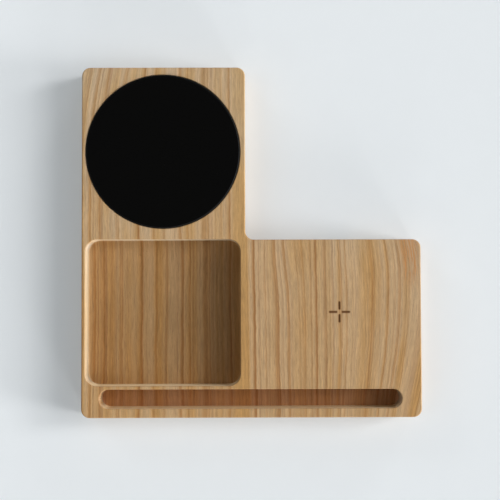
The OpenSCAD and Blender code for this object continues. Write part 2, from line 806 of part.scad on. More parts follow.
wood_body();
coaster_disc();
coaster_pad();
bottom_cover();
cover_screws();
cover_inserts();
for (f = feet) foot(f[1]);
coil_carrier();
carrier_screws();
shield_tape();
ferrite_plate();
coil_tape();
transmit_coil();
thermistor();
circuit_board();
board_screws();
controller_chip();
power_chip();
bridge_transistors();
resonant_capacitors();
power_inductor();
input_capacitor();
usb_shell();
usb_tongue();
port_liner();
board_cushion();
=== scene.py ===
import math

import bpy
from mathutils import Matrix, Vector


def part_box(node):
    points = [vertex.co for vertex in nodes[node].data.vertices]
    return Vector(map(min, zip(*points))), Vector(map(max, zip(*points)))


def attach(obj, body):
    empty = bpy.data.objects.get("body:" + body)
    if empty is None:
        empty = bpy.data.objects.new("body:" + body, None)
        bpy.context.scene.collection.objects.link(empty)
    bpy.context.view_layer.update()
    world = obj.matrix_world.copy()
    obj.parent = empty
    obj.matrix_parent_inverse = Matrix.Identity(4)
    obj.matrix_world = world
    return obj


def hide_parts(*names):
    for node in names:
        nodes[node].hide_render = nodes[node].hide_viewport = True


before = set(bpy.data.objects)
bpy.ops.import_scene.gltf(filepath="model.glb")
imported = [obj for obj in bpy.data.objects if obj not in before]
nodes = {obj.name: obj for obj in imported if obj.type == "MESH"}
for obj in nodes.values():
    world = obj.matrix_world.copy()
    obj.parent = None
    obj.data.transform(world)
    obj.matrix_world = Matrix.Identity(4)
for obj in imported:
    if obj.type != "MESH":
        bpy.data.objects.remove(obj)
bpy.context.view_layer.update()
mm = 0.001
turn = 2 * math.pi
sharpAngle = math.radians(38)


# A node socket whose arithmetic adds Math nodes to its tree
class Value:
    def __init__(self, graph, socket):
        self.graph = graph
        self.socket = socket

    def calc(self, operation, *others):
        return self.graph.add("ShaderNodeMath", {"operation": operation}, dict(enumerate([self, *others])))

    def __add__(self, other):
        return self.calc("ADD", other)

    def __sub__(self, other):
        return self.calc("SUBTRACT", other)

    def __rsub__(self, other):
        return self.calc("MULTIPLY_ADD", -1, other)

    def __mul__(self, other):
        return self.calc("MULTIPLY", other)

    def __truediv__(self, other):
        return self.calc("DIVIDE", other)

    __radd__ = __add__
    __rmul__ = __mul__


# A node tree and the few ways in which nodes are added to it
class Graph:
    def __init__(self, tree):
        self.tree = tree
        self.tree.nodes.clear()

    # Adds a node: its settings are set first, then its sockets get values or links
    def add(self, kind, settings, sockets, out=0):
        node = self.tree.nodes.new(kind)
        for key, value in settings.items():
            if key == "stops":
                fillRamp(node.color_ramp, value)
            else:
                setattr(node, key, value)
        for key, value in sockets.items():
            for one in value if isinstance(value, list) else [value]:
                if isinstance(one, Value):
                    self.tree.links.new(one.socket, node.inputs[key])
                else:
                    node.inputs[key].default_value = one
        return Value(self, node.outputs[out]) if node.outputs else None

    def axes(self, vector):
        parts = self.add("ShaderNodeSeparateXYZ", {}, {0: vector})
        return [Value(self, parts.socket.node.outputs[i]) for i in range(3)]

    def join(self, x, y, z):
        return self.add("ShaderNodeCombineXYZ", {}, {0: x, 1: y, 2: z})

    def noise(self, vector, scale, detail=2, rough=0.5, dims="3D"):
        key = "W" if dims == "1D" else "Vector"
        return self.add(
            "ShaderNodeTexNoise", {"noise_dimensions": dims},
            {key: vector, "Scale": scale, "Detail": detail, "Roughness": rough},
        )

    # 0 below low, 1 above high, and smooth between them
    def step(self, value, low, high):
        return self.add(
            "ShaderNodeMapRange", {"interpolation_type": "SMOOTHSTEP"},
            {0: value, 1: low, 2: high, 3: 0, 4: 1},
        )


# One material
class Finish(Graph):
    def __init__(self, name):
        self.material = bpy.data.materials.new(name)
        self.material.use_nodes = True
        super().__init__(self.material.node_tree)
        self.place = self.add("ShaderNodeTexCoord", {}, {}, out="Object")

    # Place on the object in millimetres
    def millimetres(self):
        return [a * (1 / mm) for a in self.axes(self.place)]

    def normal(self):
        return self.axes(self.add("ShaderNodeNewGeometry", {}, {}, out="Normal"))

    # Noise with its own count per unit of place along each axis
    def grain(self, place, counts, detail=2, rough=0.5):
        return self.noise(self.join(*[a * count for a, count in zip(place, counts)]), 1, detail, rough)

    def ramp(self, value, stops):
        return self.add("ShaderNodeValToRGB", {"stops": stops}, {0: value})

    def mix(self, share, first, second, blend="MIX"):
        first, second = [c if isinstance(c, Value) else (*c, 1) for c in (first, second)]
        return self.add(
            "ShaderNodeMix", {"data_type": "RGBA", "blend_type": blend},
            {0: share, 6: first, 7: second}, out=2,
        )

    def shade(self, colour, amount):
        return self.mix(1, colour, self.join(amount, amount, amount), "MULTIPLY")

    def bump(self, height, depth):
        return self.add("ShaderNodeBump", {}, {"Height": height, "Distance": depth, "Strength": 1})

    def close(self, sockets):
        shader = self.add("ShaderNodeBsdfPrincipled", {}, sockets)
        self.add("ShaderNodeOutputMaterial", {}, {0: shader})
        return self.material


# One Geometry Nodes tree, with a named input for each of its sizes
class Growth(Graph):
    kinds = {float: "NodeSocketFloat", int: "NodeSocketInt", tuple: "NodeSocketVector"}

    def __init__(self, name, sizes):
        super().__init__(bpy.data.node_groups.new(name, "GeometryNodeTree"))
        self.sizes = sizes
        face = self.tree.interface
        face.new_socket(name="Geometry", in_out="OUTPUT", socket_type="NodeSocketGeometry")
        face.new_socket(name="Geometry", in_out="INPUT", socket_type="NodeSocketGeometry")
        for key, size in sizes.items():
            kind = self.kinds.get(type(size), "NodeSocketMaterial")
            face.new_socket(name=key, in_out="INPUT", socket_type=kind)
        self.given = self.tree.nodes.new("NodeGroupInput")

    def ask(self, key):
        return Value(self, self.given.outputs[key])

    def vector(self, operation, first, second):
        key = "Scale" if operation == "SCALE" else 1
        return self.add("ShaderNodeVectorMath", {"operation": operation}, {0: first, key: second})

    def merge(self, *parts):
        return self.add("GeometryNodeJoinGeometry", {}, {"Geometry": list(parts)})

    def repeat(self, points, instance, rotation=(0, 0, 0)):
        copies = self.add("GeometryNodeInstanceOnPoints", {}, {
            "Points": points, "Instance": instance, "Rotation": rotation,
        })
        return self.add("GeometryNodeRealizeInstances", {}, {"Geometry": copies})

    # Closed tube along a curve
    def sweep(self, curve, profile):
        return self.add("GeometryNodeCurveToMesh", {}, {
            "Curve": curve, "Profile Curve": profile, "Fill Caps": True,
        })

    # Runs the tree on the piece and leaves the result as its plain mesh
    def grow(self, piece, geometry):
        whole = self.add("GeometryNodeRealizeInstances", {}, {"Geometry": geometry})
        done = self.add("GeometryNodeSetMaterial", {}, {"Geometry": whole, "Material": self.ask("Finish")})
        self.add("NodeGroupOutput", {}, {"Geometry": done})
        modifier = piece.modifiers.new("grow", "NODES")
        modifier.node_group = self.tree
        for item in self.tree.interface.items_tree:
            if item.in_out == "INPUT" and item.name in self.sizes:
                modifier[item.identifier] = self.sizes[item.name]
        seen = piece.evaluated_get(bpy.context.evaluated_depsgraph_get())
        piece.data = bpy.data.meshes.new_from_object(seen)
        piece.modifiers.clear()


def fillRamp(ramp, stops):
    while len(ramp.elements) < len(stops):
        ramp.elements.new(0.5)
    for element, (position, colour) in zip(ramp.elements, stops):
        element.position = position
        element.color = (*colour, 1) if isinstance(colour, tuple) else (colour, colour, colour, 1)


# The first weight, plus each value times its own weight
def weighed(weights, *values):
    total = weights[0]
    for weight, value in zip(weights[1:], values):
        total = value * weight + total
    return total


def dress(nodeName, material):
    nodes[nodeName].material_slots[0].material = material


# Lowest and highest corners of a CAD node and its middle, in millimetres
def spanOf(nodeName):
    low, high = [[a / mm for a in corner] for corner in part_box(nodeName)]
    return low, high, [(a + b) / 2 for a, b in zip(low, high)]


# Level ring of points round a middle; shape gives each point's share of the radius
def circle(radius, height, sides, middle=(0, 0), shape=None):
    angles = [turn * k / sides for k in range(sides)]
    reach = [radius * (shape(k) if shape else 1) for k in range(sides)]
    return [
        (middle[0] + r * math.cos(a), middle[1] + r * math.sin(a), height) for r, a in zip(reach, angles)
    ]


# Level ring of points on a rectangle with round corners
def oblong(width, depth, radius, height, middle=(0, 0), steps=4):
    ring = []
    for corner, (sideX, sideY) in enumerate([(1, 1), (-1, 1), (-1, -1), (1, -1)]):
        for k in range(steps + 1):
            angle = turn / 4 * (corner + k / steps)
            x = middle[0] + sideX * (width / 2 - radius) + radius * math.cos(angle)
            y = middle[1] + sideY * (depth / 2 - radius) + radius * math.sin(angle)
            ring.append((x, y, height))
    return ring


# Shell through rings that turn counter-clockwise, with flat ends, or closed into a tube wall
def loft(rings, closed=False):
    count = len(rings[0])
    total = count * len(rings)
    points = [p for ring in rings for p in ring]
    faces = []
    for i in range(len(rings) if closed else len(rings) - 1):
        for k in range(count):
            a = i * count + k
            b = i * count + (k + 1) % count
            faces.append((a, b, (b + count) % total, (a + count) % total))
    if not closed:
        faces.append(tuple(reversed(range(count))))
        faces.append(tuple(range(total - count, total)))
    return points, faces


# Name of the piece that stands for a node
def pieceName(nodeName):
    first, *others = nodeName.split("_")
    return first + "".join(word.title() for word in others)


# New object at the origin from shells given in millimetres
def makePiece(name, shells, edges=()):
    points = []
    faces = []
    for shellPoints, shellFaces in shells:
        faces += [tuple(i + len(points) for i in face) for face in shellFaces]
        points += shellPoints
    mesh = bpy.data.meshes.new(name)
    mesh.from_pydata([[a * mm for a in p] for p in points], edges, faces)
    piece = bpy.data.objects.new(name, mesh)
    bpy.context.scene.collection.objects.link(piece)
    return piece


# Finished piece: smooth faces between sharp edges, its body and the nodes it stands for
def settle(piece, replaced=(), body="root", material=None):
    if material:
        piece.data.materials.append(material)
    piece.data.shade_smooth()
    piece.data.set_sharp_from_angle(angle=sharpAngle)
    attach(piece, body)
    if replaced:
        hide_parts(*replaced)
    return piece


# Repeats the piece's mesh on level rows round a middle
def repeatInRows(piece, finish, columns, rows, pitchX, pitchY, middle):
    g = Growth("rows", {
        "Finish": finish, "Columns": columns, "Rows": rows,
        "Width": float((columns - 1) * pitchX * mm), "Depth": float((rows - 1) * pitchY * mm),
        "Middle": tuple(a * mm for a in middle),
    })
    grid = g.add("GeometryNodeMeshGrid", {}, {
        "Size X": g.ask("Width"), "Size Y": g.ask("Depth"),
        "Vertices X": g.ask("Columns"), "Vertices Y": g.ask("Rows"),
    })
    points = g.add("GeometryNodeTransform", {}, {"Geometry": grid, "Translation": g.ask("Middle")})
    g.grow(piece, g.repeat(points, g.ask("Geometry")))


coilX, coilY = spanOf("bottom_cover")[2][:2]
boardTop = spanOf("circuit_board")[1][2]

# Oiled pale wood: growth lines along Y, fibres, pores, end grain and the burnt mark, with painted shade on
# the sides that face the lamps and painted light and shade in the pockets
woodLook = {
    "pale": (0.600, 0.414, 0.240), "warm": (0.552, 0.328, 0.128), "greyish": (0.560, 0.410, 0.255),
    "line": (0.285, 0.108, 0.022), "besideLine": (0.530, 0.262, 0.066), "orange": (0.520, 0.215, 0.055),
    # side: share of the colour kept on the outer sides that face the lamps; the rest is painted shade
    "burnt": (0.135, 0.050, 0.010), "side": 0.76,
    "front": (0.88, 0.83, 0.74), "rear": (0.93, 0.98, 1.05), "frontToRear": (-90, 110),
    # noises: how many to a millimetre across the grain, along it and downwards
    "wide": (0.012, 0.013, 0.004), "fine": (0.05, 0.035, 0.02), "tiny": (0.22, 0.19, 0.1),
    "broken": (0.4, 0.045, 0.1), "fibres": (0.95, 0.040, 0.9), "threads": (2.3, 0.16, 2.1),
    "pores": (3.4, 0.40, 3.4), "patches": (0.03, 0.012, 0.02), "speckle": (3.2, 1, 3.2),
    "bands": 0.07, "rings": 0.30, "ringWander": 3, "ringWanderScale": 0.11,
    # course of the grain: how far it waves, and where it bows, leans, drifts and fans out
    "wander": 1.6, "ripple": 0.5, "shiver": 0.45, "tilt": 0.04,
    "crownY": -22, "bowFrom": 48, "bowAhead": 0.00003, "bowBehind": 0.00009,
    "leanFrom": 45, "leanEdge": (-78, -52), "lean": -0.0013,
    "drift": 1.4, "driftX": (-16, -2), "driftY": (-42, 10), "fan": 3.4, "fanMiddle": 23, "fanEdge": (2, 17),
    # the strong growth lines in two stretches of the block: place across it, width and strength
    "lines": [
        ((-116, 12), [
            (-103, 0.9, 0.45), (-97, 1.3, 0.60), (-85, 1.1, 0.40), (-72, 1.2, 0.85), (-62, 0.9, 0.40),
            (-44.6, 1.2, 0.80), (-40.0, 0.9, 0.70), (-27, 1.0, 0.50), (-13.1, 1.3, 0.85), (3.9, 1.3, 1.00),
        ]),
        ((7, 106), [
            (11, 0.9, 0.45), (19.2, 1.2, 0.90), (26.0, 0.9, 0.75), (36, 0.9, 0.50), (43.6, 1.1, 1.00),
            (59, 0.8, 0.45), (63.5, 0.8, 0.55), (80, 1.0, 0.70), (90.5, 0.9, 0.65), (98.5, 1.0, 0.65),
        ]),
    ],
    "lineTail": 2.4, "lineHead": 0.5, "lineCurve": 0.4, "lineSteady": 0.45,
    "streakAcross": (98, 103), "streakEnd": (107, 109), "streakY": (-36, -14),
    "dashLength": 5.1, "dashWidth": 1.0, "dashGap": 3.2, "dashWaver": 0.2,
    "scorch": (0.6, 1.5), "char": (0.50, 0.80), "deck": (19, 19.5),
    # how strongly each marking colours the wood, and limits between which a marking or kind of face fades in
    "patchShare": 0.5, "ringShare": 0.45, "besideShare": 0.9, "lineShare": 0.95, "streakShare": 0.8,
    "scorchShare": 0.35, "charShare": 0.92,
    "bandEdge": (0.36, 0.62), "patchEdge": (0.48, 0.74), "poreEdge": (0.62, 0.72), "ringEdge": (0.30, 0.93),
    "streakEdge": (0.40, 0.60), "uprightEdge": (0.3, 0.8), "endGrainEdge": (0.6, 0.95), "endSpeckle": 0.24,
    # brightness, height and roughness: first the base, then what each marking adds to it
    "light": (0.29, 0.86, 0.62, -0.16), "heights": (0, 0.5, 0.35, -0.4, -0.25), "relief": 0.06,
    "roughness": (0.50, 0.12, 0.25, -0.05),
}

# The tray and the groove in the wood: where they lie, the painted shade on their floors and at the foot of
# their walls, the painted light on their walls, and their end grain, paler by its own tone and by painted
# light
pocketLook = {
    "trayX": (-108.9, -5.6), "trayY": (-94.4, 2.3), "grooveX": (-99.8, 98.5), "grooveY": (-109.0, -94.4),
    "height": (3.9, 19.0), "edge": 0.4, "narrowEdge": 0.2, "heightEdge": 0.3,
    "trayTint": (0.77, 0.70, 0.59), "grooveTint": (0.74, 0.56, 0.47),
    "wallTint": (1.12, 1.36, 1.85), "wallFoot": 0.66, "footRise": (4, 14),
    "cutEnd": (0.92, 0.75, 0.50), "cutEndShare": 0.45, "towardsRear": 0.40,
}


# Stops of a ramp that rises slowly to each growth line and drops behind it
def lineStops(lines, low, high):
    look = woodLook
    stops = [(0, 0.0)]
    for place, width, strength in lines:
        at = (place - low) / (high - low)
        reach = width / (high - low)
        stops += [
            (at - look["lineTail"] * reach, 0.0), (at, strength ** look["lineCurve"]),
            (at + look["lineHead"] * reach, 0.0),
        ]
    return stops


# Place across the grain, in millimetres: the growth lines are where this is constant
def grainPlace(f, x, y, z):
    look = woodLook
    wide = f.grain((x, y, z), look["wide"], 1) - 0.5
    fine = f.grain((x, y, z), look["fine"], 1) - 0.5
    tiny = f.grain((x, y, z), look["tiny"], 2) - 0.5
    waves = wide * (2 * look["wander"]) + fine * (2 * look["ripple"]) + tiny * (2 * look["shiver"])
    fromCrown = y - look["crownY"]
    ahead = fromCrown.calc("MINIMUM", 0)
    behind = fromCrown.calc("MAXIMUM", 0)
    curve = ahead * ahead * look["bowAhead"] + behind * behind * look["bowBehind"]
    bow = (x - look["bowFrom"]).calc("MAXIMUM", 0) * curve
    fromSeat = (y - look["leanFrom"]).calc("MAXIMUM", 0)
    lean = (1 - f.step(x, *look["leanEdge"])) * fromSeat * fromSeat * look["lean"]
    fromFan = (x - look["fanMiddle"]).calc("ABSOLUTE")
    fan = (1 - f.step(fromFan, *look["fanEdge"])) * look["fan"] + look["drift"]
    drift = f.step(y, *look["driftY"]) * fan * f.step(x, *look["driftX"])
    return x + waves + bow + lean + drift + z * look["tilt"]


# Distance from the middle line of the nearest of the four burnt dashes
def markDistance(x, y):
    look = woodLook
    fromX = (x - coilX).calc("ABSOLUTE")
    fromY = (y - coilY).calc("ABSOLUTE")
    middle = (look["dashGap"] + look["dashLength"]) / 2
    straight = (look["dashLength"] - look["dashWidth"]) / 2
    reaches = []
    for along, aside in ((fromX, fromY), (fromY, fromX)):
        past = ((along - middle).calc("ABSOLUTE") - straight).calc("MAXIMUM", 0)
        reaches.append((past * past + aside * aside).calc("SQRT"))
    return reaches[0].calc("MINIMUM", reaches[1])


# 1 between the two limits, with soft edges outside them
def between(f, value, limits, edge):
    low, high = limits
    return f.step(value, low - edge, low) * (1 - f.step(value, high, high + edge))


# Colour inside the tray and the groove, with painted shade on the floors and at the foot of the walls and
# painted light on the walls; outside, painted shade on the sides that face the lamps
def pocketColour(f, colour, x, y, z):
    look = pocketLook
    wide, narrow = look["edge"], look["narrowEdge"]
    inTray = between(f, x, look["trayX"], wide) * between(f, y, look["trayY"], narrow)
    inGroove = between(f, x, look["grooveX"], wide) * between(f, y, look["grooveY"], narrow)
    inside = inTray.calc("MAXIMUM", inGroove) * between(f, z, look["height"], look["heightEdge"])
    normals = f.normal()
    upright = 1 - f.step(normals[2].calc("ABSOLUTE"), *woodLook["uprightEdge"])
    endGrain = f.step(normals[1].calc("ABSOLUTE"), *woodLook["endGrainEdge"])
    # Painted shade: the floors of the tray and the groove are darkened and warmed
    floorPaintedShade = f.mix(inGroove, look["trayTint"], look["grooveTint"])
    floorColour = f.mix(1, colour, floorPaintedShade, "MULTIPLY")
    # End-grain walls turn pale: partly the end grain's own tone, partly painted light, most on the walls
    # that face the rear
    facesRear = f.step(normals[1], -0.5, 0.5)
    paler = endGrain * (look["cutEndShare"] + facesRear * look["towardsRear"])
    # Painted highlight: the pocket walls are multiplied paler and whiter
    wallColour = f.mix(paler, f.mix(1, colour, look["wallTint"], "MULTIPLY"), look["cutEnd"])
    # Painted shade: the walls darken towards the pocket floors, except on the end grain
    wallLight = f.step(z, *look["footRise"]).calc("MAXIMUM", endGrain)
    wallColour = f.shade(wallColour, look["wallFoot"] + wallLight * (1 - look["wallFoot"]))
    speckle = f.grain((x, y, z), woodLook["speckle"], 2, 0.7)
    # Painted shade: the outer sides that face the lamps are darkened
    facesRight = f.step(normals[0], -0.5, 0.5)
    lampSidePaintedShade = upright * facesRight * (1 - woodLook["side"])
    mottle = endGrain * (0.5 - speckle) * woodLook["endSpeckle"]
    outside = f.shade(colour, 1 - (lampSidePaintedShade + mottle))
    return f.mix(inside, outside, f.mix(upright, floorColour, wallColour))


def makeWood():
    look = woodLook
    f = Finish("oiledWood")
    x, y, z = f.millimetres()
    across = grainPlace(f, x, y, z)
    grained = (across, y, z)

    ramps = []
    for (low, high), lines in look["lines"]:
        ramps.append(f.ramp((across - low) * (1 / (high - low)), lineStops(lines, low, high)))
    strong = ramps[0].calc("MAXIMUM", ramps[1])
    broken = f.grain(grained, look["broken"], 2, 0.7)
    strongLines = strong * strong * strong * (look["lineSteady"] + broken)

    spacing = across * look["rings"]
    spacing += f.noise(across, look["ringWanderScale"], 1, dims="1D") * look["ringWander"]
    phase = spacing.calc("FRACT")
    ringNumber = {"W": spacing.calc("FLOOR")}
    ringStrength = f.add("ShaderNodeTexWhiteNoise", {"noise_dimensions": "1D"}, ringNumber)
    slowEnd = look["ringEdge"][1]
    rings = f.step(phase, *look["ringEdge"]) * (1 - f.step(phase, slowEnd, 1)) * ringStrength
    fibres = f.grain(grained, look["fibres"], 3, 0.65)
    threads = f.grain(grained, look["threads"], 2, 0.6)
    pores = f.step(f.grain(grained, look["pores"], 1), *look["poreEdge"])
    bands = f.noise(across, look["bands"], 2, 0.6, dims="1D")
    patches = f.grain(grained, look["patches"], 2)

    colour = f.mix(f.step(bands, *look["bandEdge"]), look["warm"], look["pale"])
    colour = f.mix(f.step(patches, *look["patchEdge"]) * look["patchShare"], colour, look["greyish"])
    colour = f.mix(rings * look["ringShare"], colour, look["line"])
    colour = f.mix(strong * broken * look["besideShare"], colour, look["besideLine"])
    colour = f.mix(strongLines.calc("MINIMUM", 1) * look["lineShare"], colour, look["line"])
    streak = f.step(across, *look["streakAcross"]) * (1 - f.step(x, *look["streakEnd"]))
    streak = streak * f.step(y, *look["streakY"]) * f.step(fibres, *look["streakEdge"])
    colour = f.mix(streak * look["streakShare"], colour, look["orange"])
    tint = f.mix(f.step(y, *look["frontToRear"]), look["front"], look["rear"])
    colour = f.mix(1, colour, tint, "MULTIPLY")
    colour = f.shade(colour, weighed(look["light"], fibres, threads, pores))
    colour = pocketColour(f, colour, x, y, z)

    reach = markDistance(x, y) + (threads - 0.5) * look["dashWaver"]
    onTop = f.step(z, *look["deck"])
    scorch = (1 - f.step(reach, *look["scorch"])) * onTop
    char = (1 - f.step(reach, *look["char"])) * onTop
    colour = f.mix(scorch * look["scorchShare"], colour, look["line"])
    colour = f.mix(char * look["charShare"], colour, look["burnt"])

    heights = weighed(look["heights"], fibres, threads, pores, rings)
    return f.close({
        "Base Color": colour, "Roughness": weighed(look["roughness"], threads, char, rings),
        "Normal": f.bump(heights, look["relief"] * mm), "Specular IOR Level": 0.35,
    })


dress("wood_body", makeWood())
print("wood done")

# Black glass coaster: a polished face with faint wipe marks, and a ground edge
coasterLook = {
    "colour": (0.0034, 0.0034, 0.0033), "dust": (0.02, 0.02, 0.02), "dustScale": 900, "smearScale": 38,
    "smearEdge": (0.48, 0.75), "dustEdge": (0.76, 0.82), "dustShare": 0.12, "faceEdge": (0.98, 1),
    # roughness of the polished face and of the ground edge, and what smears and dust add to it
    "polished": 0.09, "ground": 0.62, "smear": 0.035, "dusty": 0.2,
}


def makeGlass():
    look = coasterLook
    f = Finish("blackGlass")
    wiped = f.step(f.noise(f.place, look["smearScale"], 3, 0.55), *look["smearEdge"])
    dust = f.step(f.noise(f.place, look["dustScale"], 1), *look["dustEdge"])
    colour = f.mix(dust * look["dustShare"], look["colour"], look["dust"])
    face = f.step(f.normal()[2], *look["faceEdge"])
    weights = (look["ground"], look["polished"] - look["ground"], look["smear"], look["dusty"])
    roughness = weighed(weights, face, wiped, dust)
    return f.close({"Base Color": colour, "Roughness": roughness, "Specular IOR Level": 0.2})


dress("coaster_disc", makeGlass())
print("coaster done")

# Moulded pieces: two shades that cloud into each other, a fine texture and rubbed patches
mouldedLook = {
    "blackPlastic": {
        "dark": (0.018, 0.018, 0.019), "light": (0.034, 0.034, 0.036), "grain": 2600, "depth": 0.00003,
        "roughness": 0.46, "rubbed": 0.12,
    },
    "whitePlastic": {
        "dark": (0.70, 0.70, 0.665), "light": (0.76, 0.76, 0.73), "grain": 1400, "depth": 0.00001,
        "roughness": 0.34, "rubbed": 0.05,
    },
    "footRubber": {
        "dark": (0.016, 0.016, 0.017), "light": (0.042, 0.041, 0.040), "grain": 1800, "depth": 0.00003,
        "roughness": 0.72, "rubbed": 0.10,
    },
    "chipResin": {
        "dark": (0.020, 0.020, 0.022), "light": (0.036, 0.036, 0.039), "grain": 5200, "depth": 0.00001,
        "roughness": 0.52, "rubbed": 0.08,
    },
    "ferrite": {
        "dark": (0.040, 0.040, 0.043), "light": (0.090, 0.090, 0.096), "grain": 3200, "depth": 0.00002,
        "roughness": 0.58, "rubbed": 0.14,
    },
    "inductorCore": {
        "dark": (0.070, 0.070, 0.076), "light": (0.150, 0.150, 0.160), "grain": 3800, "depth": 0.00003,
        "roughness": 0.62, "rubbed": 0.10,
    },
}
# Wear of them all: clouds and rubbed patches to a metre, and how they show
wearLook = {
    "clouds": 90, "cloudShare": 0.6, "patches": 260, "patchEdge": (0.56, 0.72), "paler": 0.6, "grainy": 0.10,
}


def makeMoulded(name):
    look = {**wearLook, **mouldedLook[name]}
    f = Finish(name)
    grain = f.noise(f.place, look["grain"], 3, 0.6)
    cloud = f.noise(f.place, look["clouds"], 3, 0.6)
    rubbed = f.step(f.noise(f.place, look["patches"], 2, 0.7), *look["patchEdge"])
    lightness = weighed((0, look["cloudShare"], 1 - look["cloudShare"]), cloud, grain)
    colour = f.mix(lightness, look["dark"], look["light"])
    colour = f.shade(colour, 1 + rubbed * (look["rubbed"] * look["paler"]))
    roughness = weighed((look["roughness"], look["grainy"], -look["rubbed"]), grain, rubbed)
    return f.close({"Base Color": colour, "Roughness": roughness, "Normal": f.bump(grain, look["depth"])})


# Bare metals: fine tool marks that run along an axis, tarnish in clouds
metalLook = {
    "steel": {
        "colour": (0.50, 0.51, 0.53), "tarnish": (0.33, 0.33, 0.34), "marks": (1500, 1500, 9000),
        "roughness": 0.24, "depth": 0.000004,
    },
    "brass": {
        "colour": (0.73, 0.52, 0.20), "tarnish": (0.42, 0.27, 0.10), "marks": (1500, 1500, 9000),
        "roughness": 0.26, "depth": 0.000004,
    },
    "nickelShell": {
        "colour": (0.62, 0.62, 0.60), "tarnish": (0.46, 0.45, 0.43), "marks": (900, 6000, 900),
        "roughness": 0.20, "depth": 0.000003,
    },
}
# Tarnish of them all: clouds to a metre, how they show, and what they and the tool marks roughen
tarnishLook = {"clouds": 420, "cloudEdge": (0.48, 0.72), "cloudShare": 0.6, "dull": 0.16, "marked": 0.14}


def makeMetal(name):
    look = {**tarnishLook, **metalLook[name]}
    f = Finish(name)
    marks = f.grain(f.axes(f.place), look["marks"], 2)
    tarnish = f.step(f.noise(f.place, look["clouds"], 3, 0.6), *look["cloudEdge"])
    colour = f.mix(tarnish * look["cloudShare"], look["colour"], look["tarnish"])
    roughness = weighed((look["roughness"], look["marked"], look["dull"]), marks, tarnish)
    return f.close({
        "Base Color": colour, "Roughness": roughness, "Metallic": 1, "Normal": f.bump(marks, look["depth"]),
    })


blackPlastic = makeMoulded("blackPlastic")
chipResin = makeMoulded("chipResin")
steel = makeMetal("steel")
brass = makeMetal("brass")
for nodeName in ("bottom_cover", "usb_tongue", "port_liner"):
    dress(nodeName, blackPlastic)
for nodeName in ("controller_chip", "power_chip"):
    dress(nodeName, chipResin)
dress("coil_carrier", makeMoulded("whitePlastic"))
dress("ferrite_plate", makeMoulded("ferrite"))
dress("power_inductor", makeMoulded("inductorCore"))
dress("usb_shell", makeMetal("nickelShell"))
print("plastics and metals done")

# Adhesive tissue under and over the ferrite
tapeLook = {
    "pale": (0.86, 0.82, 0.70), "dark": (0.66, 0.60, 0.47), "fibre": 1900, "crossed": 1520,
    "alongX": 0.35, "alongY": 0.3, "depth": 0.00003,
}


def makeTape():
    look = tapeLook
    f = Finish("tissueTape")
    x, y, z = f.axes(f.place)
    fibres = f.noise(f.join(x * look["alongX"], y, z), look["fibre"], 3, 0.7)
    crossed = f.noise(f.join(x, y * look["alongY"], z), look["crossed"], 3, 0.7)
    web = fibres.calc("MAXIMUM", crossed)
    colour = f.mix(f.step(web, 0.45, 0.70), look["dark"], look["pale"])
    relief = f.bump(web, look["depth"])
    return f.close({"Base Color": colour, "Roughness": 0.50 + web * 0.3, "Normal": relief})


tissueTape = makeTape()
dress("shield_tape", tissueTape)
dress("coil_tape", tissueTape)

# Board: green mask over copper, some of it whole and some routed as tracks; bare laminate on its edges
boardLook = {
    "mask": (0.008, 0.070, 0.033), "track": (0.018, 0.130, 0.060), "laminate": (0.46, 0.42, 0.25),
    "tin": (0.55, 0.55, 0.53), "patch": 150, "gap": 0.06, "pitch": 0.8, "whole": 0.42, "vias": 420,
    "weave": 2600, "depth": 0.00003,
}


def makeBoard():
    look = boardLook
    f = Finish("boardMask")
    x, y = f.millimetres()[:2]
    metric = {"distance": "CHEBYCHEV", "voronoi_dimensions": "2D"}
    patch = {"Vector": f.place, "Scale": look["patch"]}
    near = f.add("ShaderNodeTexVoronoi", metric, patch)
    far = f.add("ShaderNodeTexVoronoi", {**metric, "feature": "F2"}, patch)
    chance = f.axes(f.add("ShaderNodeTexVoronoi", metric, patch, out="Color"))
    alongX = f.step(chance[0], 0.49, 0.51)
    across = (x * alongX + y * (1 - alongX)) * (1 / look["pitch"])
    wave = (across.calc("FRACT") - 0.5).calc("ABSOLUTE")
    whole = 1 - f.step(chance[1], look["whole"] - 0.01, look["whole"])
    apart = f.step(far - near, look["gap"], look["gap"] * 1.4)
    copper = f.step(wave, 0.17, 0.22).calc("MAXIMUM", whole) * apart
    holes = {"Vector": f.place, "Scale": look["vias"]}
    hole = f.add("ShaderNodeTexVoronoi", {"voronoi_dimensions": "2D"}, holes)
    via = (1 - f.step(hole, 0.10, 0.13)) * f.step(chance[2], 0.55, 0.60)
    flat = f.step(f.normal()[2].calc("ABSOLUTE"), 0.5, 0.8)
    weave = f.noise(f.place, look["weave"], 2)
    colour = f.mix(copper, look["mask"], look["track"])
    colour = f.mix(via, colour, look["tin"])
    colour = f.mix(flat, f.shade(look["laminate"], 0.8 + weave * 0.3), colour)
    return f.close({
        "Base Color": colour, "Roughness": 0.24 + weave * 0.12 + (1 - flat) * 0.35,
        "Metallic": via * flat, "Normal": f.bump(copper + via * 0.5, look["depth"]),
    })


dress("circuit_board", makeBoard())

# Parts of two finishes in one node, parted by where they are
partLook = {
    "ceramic": (0.42, 0.29, 0.17), "ceramicDark": (0.30, 0.20, 0.11), "tin": (0.66, 0.66, 0.64),
    "resin": (0.21, 0.10, 0.028), "resinDark": (0.10, 0.045, 0.014),
    "aluminium": (0.70, 0.71, 0.72), "base": (0.022, 0.022, 0.024),
    "capGrain": 2400, "capDepth": 0.00001, "resinCloud": 1500, "resinDepth": 0.00002,
    "canMarks": (1.2, 1.2, 18), "canDepth": 0.00004,
    # in millimetres: half the capacitor's body, the can's base, its scored cross and its painted edge
    "capBody": 1.0, "baseHeight": 0.8, "score": (0.10, 0.16), "paintFrom": 1.3,
}


